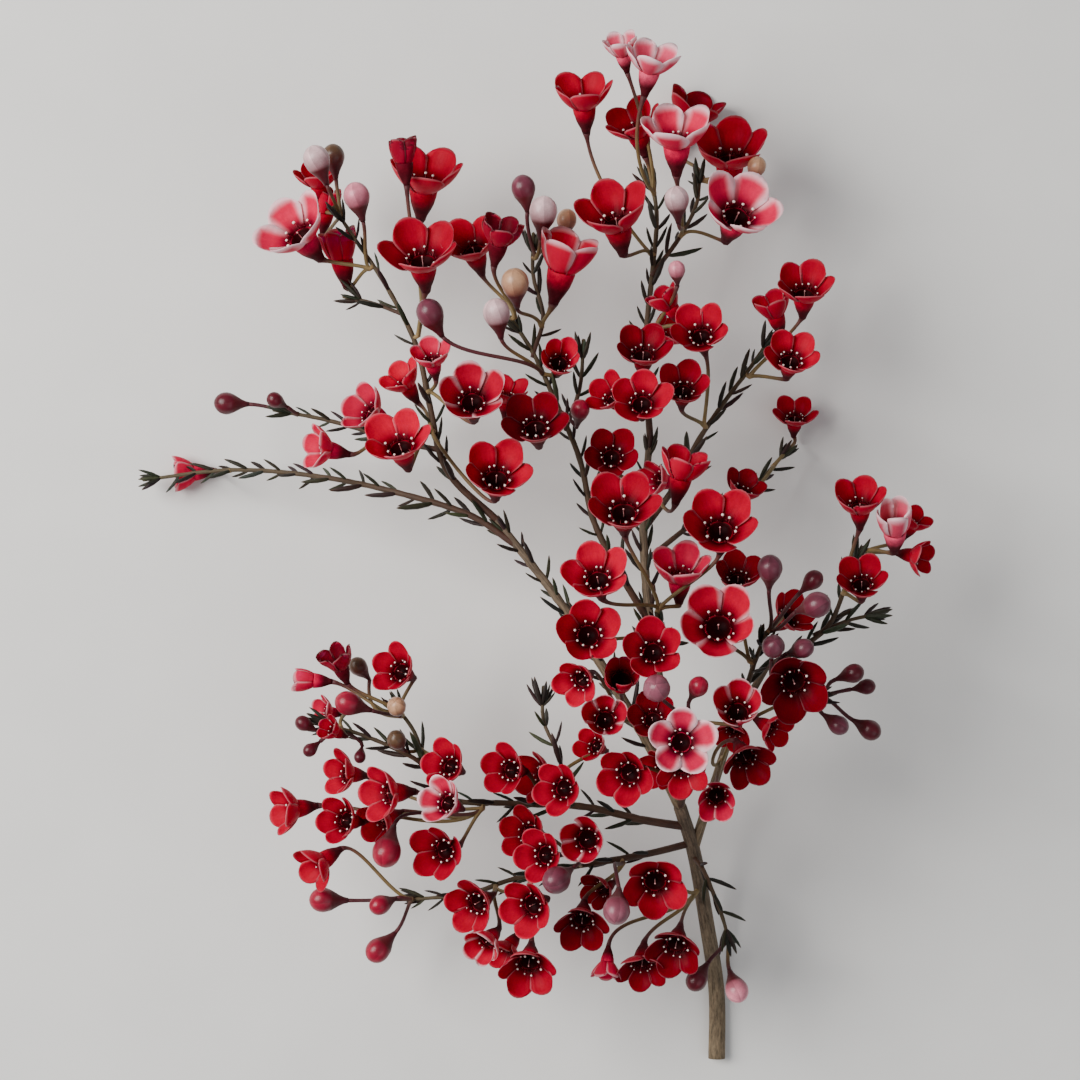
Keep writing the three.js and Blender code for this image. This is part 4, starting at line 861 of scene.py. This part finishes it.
bud_skin, tree, skin = new_finish("bud_skin", Specular_IOR_Level=0.35)
parts = form_parts(tree)
mark = parts["Z"]
spots, pimples = add_mottle(tree, body_place(tree), 420.0, 0.84, 1.16)
turns = calculate(tree, "MULTIPLY", calculate(
    tree, "ARCTAN2", parts["Y"], parts["X"]), PETALS / (2 * math.pi))
slant = calculate(tree, "MULTIPLY", calculate(
    tree, "SUBTRACT", mark, 1.0), BUD_TWIST / (2 * math.pi))
lapped = calculate(tree, "FRACT", calculate(tree, "ADD", turns, slant))
# painted shade and light: each lapped petal darker at one seam and lighter at the other
lap_shade_tone = ranged(tree, lapped, 0.0, 1.0, 0.76, 1.08, smooth=True)
cap_color = toned(tree, toned(tree, layer(tree, "tint", "Color"), spots), lap_shade_tone)
# darker toward the calyx: the bud's own deeper base together with painted shade
darker_base_and_shade = ranged(tree, mark, 1.0, 1.55, 0.7, 0.0)
cap_color = mixed(tree, darker_base_and_shade, cap_color, (*paint(BUD_BASE_AND_SHADE), 1))
calyx_color = paint_ramp(tree, calculate(tree, "MULTIPLY", mark, 0.5), CUP_PAINTS[:3])
on_cap = ranged(tree, mark, 0.82, 1.04, smooth=True)
bud_color = mixed(tree, on_cap, toned(tree, calyx_color, spots), cap_color)
tree.links.new(ranged(tree, on_cap, 0.0, 1.0, 0.5, 0.32), skin.inputs["Roughness"])
height = calculate(tree, "ADD", calculate(tree, "MULTIPLY", lapped, on_cap), pimples)
dress(tree, skin, bud_color, height, 0.35, 0.0003)

# ---- Leafy shoots --------------------------------------------------------------------------------
# Thin shoots grow out of the woody stem, dark brown below and olive at their tips.  A few bear
# single flowers or buds of their own near the tip.
SHOOTS = {  # each stem's places in the plan, its two radii, and its leafy stretch, in mm
    "left_tip": [
        ([(-8, -1, 49.5), (-20, 7, 48), (-42, 14, 43), (-66, 19, 31), (-93, 21, 17), (-119, 18, 9)],
         (1.2, 0.6), (10, 120)),
    ],
    "left_bud": [
        ([(-30, 27, 49.5), (-40, 29, 44), (-50, 32, 39), (-64, 36, 35), (-80, 39, 33)],
         (1, 0.6), (8, 54)),
    ],
    "upper_left": [
        ([(-13, 6, 48), (-28, 21, 49), (-33, 40, 50), (-37, 58, 51), (-46, 76, 51), (-56, 91, 50),
          (-62, 100, 49)], (1.3, 0.6), (18, 118)),
        ([(-42, 68, 51), (-50, 71, 47), (-59, 73, 44)], (0.7, 0.6), (6, 18)),
    ],
    "upper_middle": [
        ([(33, -25, 50), (24, -10, 55), (16, 6, 57), (12, 24, 57), (4, 43, 57), (-2, 56, 57),
          (-9, 67, 57)], (1.3, 0.7), (14, 96)),
        ([(-2, 56, 57), (1, 67, 54), (-2, 79, 53), (-2, 92, 51)], (0.8, 0.6), (6, 36)),
        ([(8, 34, 57), (12, 46, 53), (13, 60, 50)], (0.8, 0.6), (5, 26)),
    ],
    "top": [
        ([(33, 31, 46), (32, 46, 45), (32, 63, 43), (34, 83, 39), (35, 98, 35), (33, 110, 32)],
         (1.2, 0.7), (10, 80)),
        ([(34, 80, 40), (42, 91, 34), (47, 101, 27), (48, 111, 20)], (0.9, 0.6), (8, 36)),
    ],
    "upper_right": [
        ([(31, 3, 50), (41, 17, 50), (47, 29, 50), (55, 41, 48), (64, 53, 45), (70, 62, 42)],
         (1.2, 0.6), (14, 70)),
    ],
    "far_right": [
        ([(32, -6, 50), (46, 5, 40), (58, 12, 31), (68, 20, 22), (75, 28, 14)], (1, 0.6), (16, 66)),
    ],
    "right": [
        ([(68, -38, 51), (79, -32, 52), (87, -25, 51), (92, -13, 49), (97, -2, 47)],
         (1.1, 0.6), (8, 46)),
        ([(83, -28, 51.5), (93, -24, 48), (103, -22, 46)], (0.7, 0.6), (4, 20)),
    ],
    "right_bud": [
        ([(64, -46, 49), (72, -49, 56), (80, -48, 61), (87, -46, 62)], (1, 0.6), (8, 26)),
    ],
    "centre": [
        ([(34, -31, 50), (36, -31, 62), (37, -28, 73), (35, -22, 82)], (1.1, 0.8), (10, 30)),
    ],
    "centre_right": [
        ([(59, -54, 47), (62, -44, 57), (65, -35, 67), (68, -28, 76)], (1.1, 0.7), (10, 34)),
    ],
    "lower_centre": [
        ([(42, -80, 38), (44, -72, 54), (44, -62, 69), (44, -54, 83)], (1.3, 0.8), (14, 46)),
    ],
    "lower_left": [
        ([(44, -86, 33), (31, -84, 41), (13, -80, 47), (-9, -79, 49), (-28, -77, 50), (-35, -65, 51),
          (-38, -57, 51), (-45, -48, 51)], (1.5, 0.6), (14, 122)),
        ([(7, -79.4, 48), (6, -66, 44), (1, -54, 40), (1, -44, 38)], (0.7, 0.6), (6, 36)),
    ],
    "lower_left_leafy": [
        ([(-31, -72, 50), (-37, -66, 57), (-47, -61, 58), (-58, -57, 57), (-68, -55, 55)],
         (0.9, 0.6), (8, 44)),
    ],
    "bottom_left": [
        ([(45, -91, 29), (33, -94, 37), (22, -96, 41), (10, -98, 42), (-9, -102, 41), (-21, -106, 39),
          (-40, -108, 35)], (1.3, 0.6), (16, 92)),
    ],
    "trailing": [
        ([(46, -95, 27), (49, -99, 36), (52, -106, 41), (55, -114, 41), (57, -122, 39)],
         (0.9, 0.6), (8, 36)),
    ],
}
SHOOT_HEADS = {  # a place on the shoot, and the heads that leave it there
    "left_tip": ((-93, 21, 17), [
        bloom(-106, 20, 4.1, 186, 82, 6.8, HALF, "rosy"),
    ]),
    "left_bud": ((-72, 37, 33), [
        bud(-94, 41, 33, 178, 85, 3.6, "burgundy"),
        bud(-79.5, 42, 40, 150, 60, 2.5, "burgundy"),
    ]),
    "far_right": ((70, 22, 20), [
        bloom(76.5, 37.5, 9, 90, 48, 6.5, OPEN),
        bloom(61, 15.5, 58, 65, 52, 6.4, CUPPED, "dark"),
    ]),
    "right_bud": ((84, -47, 62), [
        bud(94, -40, 70, 20, 80, 3, "burgundy"),
        bud(98, -44, 62, 10, 85, 2.5, "burgundy"),
        bud(89.5, -55.5, 72, 325, 75, 3, "plum"),
        bud(99, -57, 62, 330, 85, 3.2, "burgundy"),
    ]),
    "lower_left_leafy": ((-60, -56, 57), [
        bloom(-64.5, -51.5, 48, 170, 60, 4.7, CUPPED, "rosy"),
        bloom(-62.5, -57, 66, 150, 50, 4.6, HALF),
        bud(-71, -55, 60, 150, 75, 2.4, "burgundy"),
        bud(-69, -63, 55, 220, 75, 2.1, "burgundy"),
        bud(-54, -65, 58, 260, 60, 1.9, "burgundy"),
    ]),
    "trailing": ((56, -119, 39.5), [
        bud(47, -132, 42, 235, 75, 3.4, "burgundy"),
        bud(59, -135, 45, 290, 55, 3.7, "blush"),
    ]),
}
STEMS_OF = {"woody": WOOD_ROUTES, **SHOOTS}
ROOT_SINK = 1.3  # mm that a shoot's root reaches into the stem that bears it
YOUNG_TWIG, OLD_TWIG = "4E442E", "43291F"


def on_carrier(stems, axil):
    """The point nearest to `axil` on a carrier's stems, with the direction and radius there."""
    wanted = place(axil)
    found = []
    for route, radii, _ in stems:
        line = smooth_line(route)
        length = line_length(line)
        count = math.ceil(length / MM)
        for k in range(count + 1):
            spot, along = walk(line, length * k / count)
            radius = (radii[0] + (radii[1] - radii[0]) * k / count) * MM
            found.append(((spot - wanted).length, spot, along, radius))
    return min(found, key=lambda item: item[0])[1:]


def add_head(piece, rng, item, start, outward, root, core):
    """A head on its stalk: a bud, or a flower with its cup, petals and stamens."""
    add_part(piece, stalk_rod(item, start, outward, root, core), stalk_skin)
    roll = Matrix.Rotation(rng.randrange(10) * math.pi / 5, 4, "Z")
    if item["kind"] == "bud":
        tint = (*paint(BUD_PAINTS[item["color"]]), 1)
        add_copy(piece, bud_shape, item["stand"] @ roll, bud_skin, tint)
        return
    red = (*paint(PETAL_PAINTS[item["color"]][0]), 1)
    add_copy(piece, cup_shape, item["stand"], cup_skin, red)
    add_petals(piece, rng, item)
    if item["spread"] > SHUT:
        add_copy(piece, rng.choice(stamen_rings), item["stand"] @ roll, stamen_skin)


def core_of(node):
    """The CAD node's own faces, to find where its stalks run."""
    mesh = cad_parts[node].data
    return BVHTree.FromPolygons([vert.co for vert in mesh.vertices],
                                [face.vertices[:] for face in mesh.polygons])


twig_skin = stem_finish("twig_skin", (1.3, 1.3, 0.14), 0.7, 1.3, 0.0002, 0.62)

for name, stems in SHOOTS.items():
    node = name + "_shoot"
    piece, rng = new_part(), random.Random(node)
    for route, radii, leafy in stems:
        twig = stem_rod(route, radii, leafy, ((0, OLD_TWIG), (1, YOUNG_TWIG)), ROOT_SINK)
        add_part(piece, twig, twig_skin)
        add_needles(piece, rng, route, radii, leafy)
    if name in SHOOT_HEADS:
        axil, heads = SHOOT_HEADS[name]
        core = core_of(node)
        root, along, _ = on_carrier(stems, axil)
        for item in heads:
            add_head(piece, rng, item, root, along, root, core)
    finish_piece(piece, name + "_leafed_twig", node)

# ---- Flower bunches ------------------------------------------------------------------------------
# Loose bunches of flowers and buds leave the shoots in the leaf axils.  Each bunch grew there,
# all its stalks from one knot.
BUNCHES = {  # the stem that bears it, the place there, and its heads
    "top_tip": ("top", (34, 104, 34), [
        bloom(24.5, 147.5, 50, 105, 60, 6.1, HALF, "pale"),
        bloom(33.5, 143.5, 62, 78, 60, 8.3, CUPPED, "pale"),
        bloom(28.5, 124.5, 44, 112, 55, 8.7, CUPPED),
    ]),
    "top_left": ("top", (34, 86, 39), [
        bloom(13, 133, 50, 96, 55, 9.2, CUPPED),
        bloom(22.5, 97.5, 60, 104, 50, 11, CUPPED),
    ]),
    "top_back": ("top", (48, 108, 22), [
        bloom(46, 128.5, 7.1, 70, 70, 9.6, CUPPED, "dark"),
        bloom(57, 116.5, 30, 92, 50, 11.3, CUPPED),
        bud(65, 112, 40, 70, 60, 3, "beige"),
    ]),
    "top_right": ("top", (42, 91, 34), [
        bloom(41, 122, 56, 92, 56, 10.6, CUPPED, "rimmed"),
        bud(41, 102, 58, 96, 66, 3.9, "silver"),
        bloom(60, 99, 54, 66, 36, 11.3, OPEN, "rimmed"),
    ]),
    "top_foot": ("top", (32, 62, 43), [
        bloom(38, 71.5, 50, 125, 76, 6.3, HALF),
        bud(41, 81, 60, 95, 60, 2.7, "blush"),
        bloom(37.5, 62, 34, 40, 60, 5.9, CUPPED),
    ]),
    "left_crown": ("upper_left", (-60, 97, 49), [
        bud(-67, 114, 58, 112, 74, 4.2, "silver"),
        bud(-62, 115, 47, 96, 76, 3.6, "brown"),
        bloom(-66.5, 108.5, 36, 95, 62, 6.9, CUPPED),
        bloom(-64, 100.5, 32, 80, 70, 6.9, SHUT),
    ]),
    "left_pale": ("upper_left", (-50, 82, 51), [
        bloom(-73.5, 93, 60, 132, 46, 10.8, OPEN, "rimmed"),
        bud(-55, 103, 60, 104, 70, 4.1, "blush"),
        bloom(-60, 87, 44, 100, 76, 8.9, SHUT),
    ]),
    "left_tall": ("upper_left", (-38, 61, 51), [
        bloom(-41, 115.5, 62, 96, 78, 6.9, SHUT, "wilted"),
        bloom(-34.5, 109, 46, 82, 55, 11.2, CUPPED),
        bloom(-35.5, 86, 64.5, 95, 46, 10.8, OPEN),
    ]),
    "middle": ("upper_middle", (-8, 66, 57), [
        bloom(-20.5, 88.5, 57, 110, 46, 8.9, CUPPED),
        bloom(-12, 91.5, 74, 78, 62, 7.6, HALF, "wilted"),
    ]),
    "middle_bud": ("upper_middle", (-2, 84, 52), [
        bud(-5, 105.5, 60, 100, 74, 3.8, "plum"),
        bud(1, 98.5, 60, 84, 72, 4.4, "silver"),
        bud(8, 96, 44, 80, 72, 3.2, "beige"),
    ]),
    "middle_cup": ("upper_middle", (0, 64, 55), [
        bloom(7.5, 84.5, 62, 75, 70, 11, HALF, "edged"),
        bud(-7.5, 77, 73, 95, 58, 4.3, "beige"),
    ]),
    "middle_low": ("upper_middle", (1, 50, 57), [
        bud(-13, 68, 72, 100, 68, 4.2, "silver"),
        bud(-33, 68, 71, 118, 70, 4.2, "plum"),
        bloom(6, 54, 66, 80, 26, 7.1, HALF, "bright"),
    ]),
    "left_side": ("left_bud", (-46, 31, 36), [
        bloom(-65.5, 27.5, 48, 168, 66, 7, CUPPED, "rosy"),
        bloom(-52, 39, 56, 148, 52, 7.8, CUPPED, "rosy"),
    ]),
    "left_front": ("upper_left", (-31, 33, 50), [
        bloom(-42.5, 29.5, 73, 108, 42, 9.4, OPEN, "bright"),
        bloom(-41, 48, 44, 122, 60, 6.9, CUPPED, "bright"),
        bloom(-13, 20, 74, 86, 36, 9.6, OPEN),
    ]),
    "left_upper": ("upper_left", (-34, 44, 50), [
        bloom(-32.5, 55, 64, 100, 50, 6.4, CUPPED, "rosy"),
        bloom(-20.5, 43, 80, 95, 32, 9.4, OPEN, "edged"),
    ]),
    "middle_dark": ("upper_middle", (6, 39, 57), [
        bloom(-10, 44, 62, 85, 58, 6.4, CUPPED),
        bloom(-1.5, 35, 80, 100, 34, 8.9, OPEN, "dark"),
        bud(12, 39, 68, 80, 60, 3, "crimson"),
    ]),
    "upper": ("top", (32, 44, 45), [
        bloom(31, 57, 74, 90, 42, 7.9, OPEN, "dark"),
        bloom(30.5, 42, 82, 95, 28, 8, OPEN),
        bloom(21, 43.5, 66, 135, 48, 6.8, CUPPED),
    ]),
    "upper_right": ("upper_right", (50, 34, 49), [
        bloom(48, 62.5, 64, 108, 34, 8.2, OPEN),
        bloom(43, 46, 70, 88, 36, 7.5, OPEN),
    ]),
    "right_crown": ("upper_right", (62, 50, 46), [
        bloom(79.5, 75.5, 50, 90, 44, 8.7, CUPPED),
        bloom(70, 69.5, 34, 110, 66, 7.1, HALF),
        bloom(75.5, 55, 58, 82, 36, 7.9, OPEN),
    ]),
    "centre_back": ("woody", (32, 15, 49), [
        bloom(21.5, 25.5, 72, 92, 20, 7.4, OPEN, "dark"),
        bloom(35, 18, 70, 170, 50, 6.3, HALF, "rosy"),
        bloom(43, 21.5, 84, 78, 72, 8.4, HALF),
    ]),
    "centre": ("centre", (35, -22, 82), [
        bloom(25, 10, 96, 95, 36, 10, OPEN),
        bloom(54, 4.5, 100, 96, 34, 10.2, OPEN),
        bloom(17, -10.5, 102, 104, 36, 8.9, OPEN, "bright"),
        bloom(42, -9, 84, 90, 58, 8.8, CUPPED, "rosy"),
    ]),
    "centre_left": ("centre", (37, -29, 70), [
        bloom(14.5, -28, 94, 92, 16, 8.7, OPEN),
        bloom(34, -33, 96, 95, 20, 8.1, OPEN),
    ]),
    "centre_low": ("woody", (28, -54, 49), [
        bloom(11.5, -42.5, 76, 210, 34, 6.6, OPEN, "bright"),
        bloom(24.5, -41.5, 88, 90, 20, 8.5, SHUT),
        bloom(19.5, -53.5, 78, 100, 18, 7.5, HALF, "edged"),
    ]),
    "right_front": ("centre_right", (64, -37, 65), [
        bloom(53.5, -25, 92, 100, 22, 10.7, OPEN, "edged"),
        bloom(59.5, -10.5, 76, 90, 42, 7, CUPPED, "dark"),
    ]),
    "right_bud": ("centre_right", (68, -28, 76), [
        bud(69, -8.5, 92, 90, 58, 3.8, "plum"),
        bud(83, -19.5, 90, 20, 50, 4, "plum"),
        bud(82, -12, 80, 45, 76, 2.9, "burgundy"),
        bloom(75.5, -22.5, 60, 40, 46, 7.3, CUPPED),
    ]),
    "right_dark": ("right_bud", (72, -50, 57), [
        bloom(76.5, -43.5, 84, 280, 20, 9.4, OPEN, "dark"),
        bud(70, -32, 90, 90, 30, 3.5, "plum"),
        bud(79, -32.5, 86, 20, 60, 3, "plum"),
        bloom(70, -57, 70, 330, 50, 5.9, CUPPED),
    ]),
    "far_right": ("right", (97, -3, 47), [
        bloom(106.5, 5, 62, 95, 48, 8.9, SHUT, "pale"),
        bloom(112.5, 5.5, 44, 60, 60, 5.2, CUPPED),
        bloom(113.5, -5, 52, 350, 60, 5.8, CUPPED),
    ]),
    "right_side": ("right", (91, -16, 49.5), [
        bloom(96, 11.5, 60, 95, 50, 8, CUPPED),
        bloom(96.5, -12, 66, 98, 40, 7.4, OPEN),
    ]),
    "front_bud": ("lower_centre", (44, -54, 82), [
        bud(35, -44.5, 106, 110, 18, 4.1, "mauve"),
        bud(47.5, -44, 98, 60, 50, 3, "crimson"),
        bloom(59.5, -50.5, 98, 90, 28, 8.4, HALF, "edged"),
    ]),
    "front": ("lower_centre", (44, -62, 69), [
        bloom(42.5, -60.5, 106, 80, 8, 7.8, WIDE, "rimmed"),
        bloom(33.5, -53, 84, 110, 30, 6.7, OPEN, "dark"),
    ]),
    "front_low": ("lower_centre", (44, -72, 54), [
        bloom(43, -69.5, 83.5, 270, 34, 7.1, OPEN),
        bloom(36, -68.5, 64, 205, 44, 6.2, CUPPED),
        bloom(26, -70.5, 80, 200, 24, 8.1, OPEN),
    ]),
    "front_right": ("woody", (55, -65, 42), [
        bloom(62, -66.5, 82, 295, 38, 7.5, OPEN, "dark"),
        bloom(58, -58, 66, 250, 46, 5.6, CUPPED),
        bloom(53, -77.5, 72, 262, 18, 7.3, HALF, "rosy"),
    ]),
    "lower_crown": ("lower_left", (-41, -53, 51), [
        bloom(-60.5, -36.5, 58, 110, 62, 6.2, HALF, "wilted"),
        bloom(-70, -42, 50, 176, 84, 5.9, SHUT, "rosy"),
        bud(-57.5, -49, 67, 162, 78, 3.8, "crimson"),
        bud(-54.5, -38, 46, 130, 70, 2.9, "brown"),
        bloom(-43, -39, 64, 150, 36, 7.2, OPEN),
        bud(-43, -50, 62, 100, 30, 3, "beige"),
    ]),
    "lower_left": ("lower_left", (-36, -63, 51), [
        bloom(-28, -67.5, 68, 150, 36, 7, OPEN),
        bloom(-29, -78.5, 76, 152, 40, 7.1, CUPPED, "rimmed"),
        bud(-43, -60, 64, 120, 40, 3, "brown"),
    ]),
    "lower_bright": ("lower_left", (-25, -77.5, 50), [
        bloom(-59, -70, 46, 170, 52, 6.8, CUPPED, "bright"),
        bloom(-46.5, -76, 68, 180, 52, 8, CUPPED, "bright"),
    ]),
    "lower_front": ("lower_left", (-17, -78.5, 49.5), [
        bloom(-59.5, -84, 60, 166, 38, 7.3, CUPPED),
        bloom(-48, -84.5, 52, 200, 52, 6.9, CUPPED, "bright"),
        bloom(-30, -93.5, 62, 190, 32, 8.1, OPEN),
        bud(-46, -93.5, 66, 255, 60, 4.5, "crimson"),
        bloom(-75.5, -81, 46, 186, 62, 7.4, CUPPED, "bright"),
    ]),
    "bottom_bud": ("bottom_left", (-38, -108, 35.5), [
        bloom(-67, -97.5, 44, 212, 60, 7.3, CUPPED),
        bud(-65, -108, 38, 178, 82, 4, "crimson"),
        bud(-48, -109.5, 42, 200, 60, 3.2, "crimson"),
        bud(-48.5, -123, 34, 225, 80, 3.9, "crimson"),
    ]),
    "bottom_back": ("lower_left", (2, -79, 48.5), [
        bloom(-10, -69, 68, 170, 36, 7.5, OPEN),
        bloom(-0.5, -71, 54, 180, 52, 7.5, CUPPED),
        bloom(6, -74.5, 74, 170, 30, 7.4, OPEN),
        bloom(16, -61.5, 44, 150, 40, 5.6, CUPPED),
    ]),
    "bottom_middle": ("bottom_left", (12, -97.6, 42), [
        bloom(-4.5, -88, 58, 165, 38, 7.6, OPEN),
        bloom(0.5, -94.5, 70, 170, 30, 7.4, OPEN),
        bloom(13.5, -90, 72, 180, 18, 8.3, HALF, "edged"),
        bud(5, -102, 80, 210, 40, 4.2, "plum"),
    ]),
    "bottom_tip": ("bottom_left", (-13, -103.4, 40.5), [
        bloom(-20, -109.5, 58, 200, 36, 7.8, OPEN),
        bloom(-3.5, -110, 72, 192, 32, 8.1, OPEN),
        bloom(-16.5, -121, 62, 220, 36, 6.8, HALF, "edged"),
    ]),
    "bottom_low": ("bottom_left", (-3, -101, 41.3), [
        bloom(-3.5, -128.5, 62, 262, 34, 8.3, OPEN),
        bloom(-10.5, -123.5, 44, 230, 52, 6.3, CUPPED),
    ]),
    "bottom_dark": ("bottom_left", (24, -95.5, 40.5), [
        bloom(12.5, -115.5, 60, 262, 36, 7.8, OPEN, "dark"),
        bloom(18, -105, 46, 200, 40, 5.8, CUPPED, "dark"),
        bud(23, -111, 78, 262, 46, 4.2, "mauve"),
    ]),
    "bottom_right": ("woody", (48, -104, 20.5), [
        bloom(34.5, -103.5, 66, 262, 18, 9.1, OPEN),
        bloom(20, -128.5, 44, 265, 74, 5.3, HALF, "rosy"),
        bloom(30.5, -128.5, 46, 262, 46, 7.4, OPEN, "dark"),
        bloom(40.5, -123, 54, 252, 36, 8.1, OPEN, "dark"),
    ]),
}

BEAD_STAND, BEAD_CLEAR = 0.9, 0.5  # mm from a shoot's side, or from its radius, to the fork


def fork(stems, axil, heads):
    """Where a bunch's stalks fork beside the shoot, the way out, and their root on it."""
    root, along, radius = on_carrier(stems, axil)
    outward = sum(((item["foot"] - root).normalized() for item in heads), Vector())
    outward = (outward - along * outward.dot(along)).normalized()
    away = max(radius * math.cos(math.pi / 4) + BEAD_STAND * MM, radius + BEAD_CLEAR * MM)
    return root + outward * away, outward, root


for name, (carrier, axil, heads) in BUNCHES.items():
    node = name + "_bunch"
    piece, rng = new_part(), random.Random(node)
    core = core_of(node)
    start, outward, root = fork(STEMS_OF[carrier], axil, heads)
    for item in heads:
        add_head(piece, rng, item, start, outward, root, core)
    finish_piece(piece, name + "_blossoms", node)

for part in (needle_shape, cup_shape, bud_shape, *stamen_rings):
    part.free()
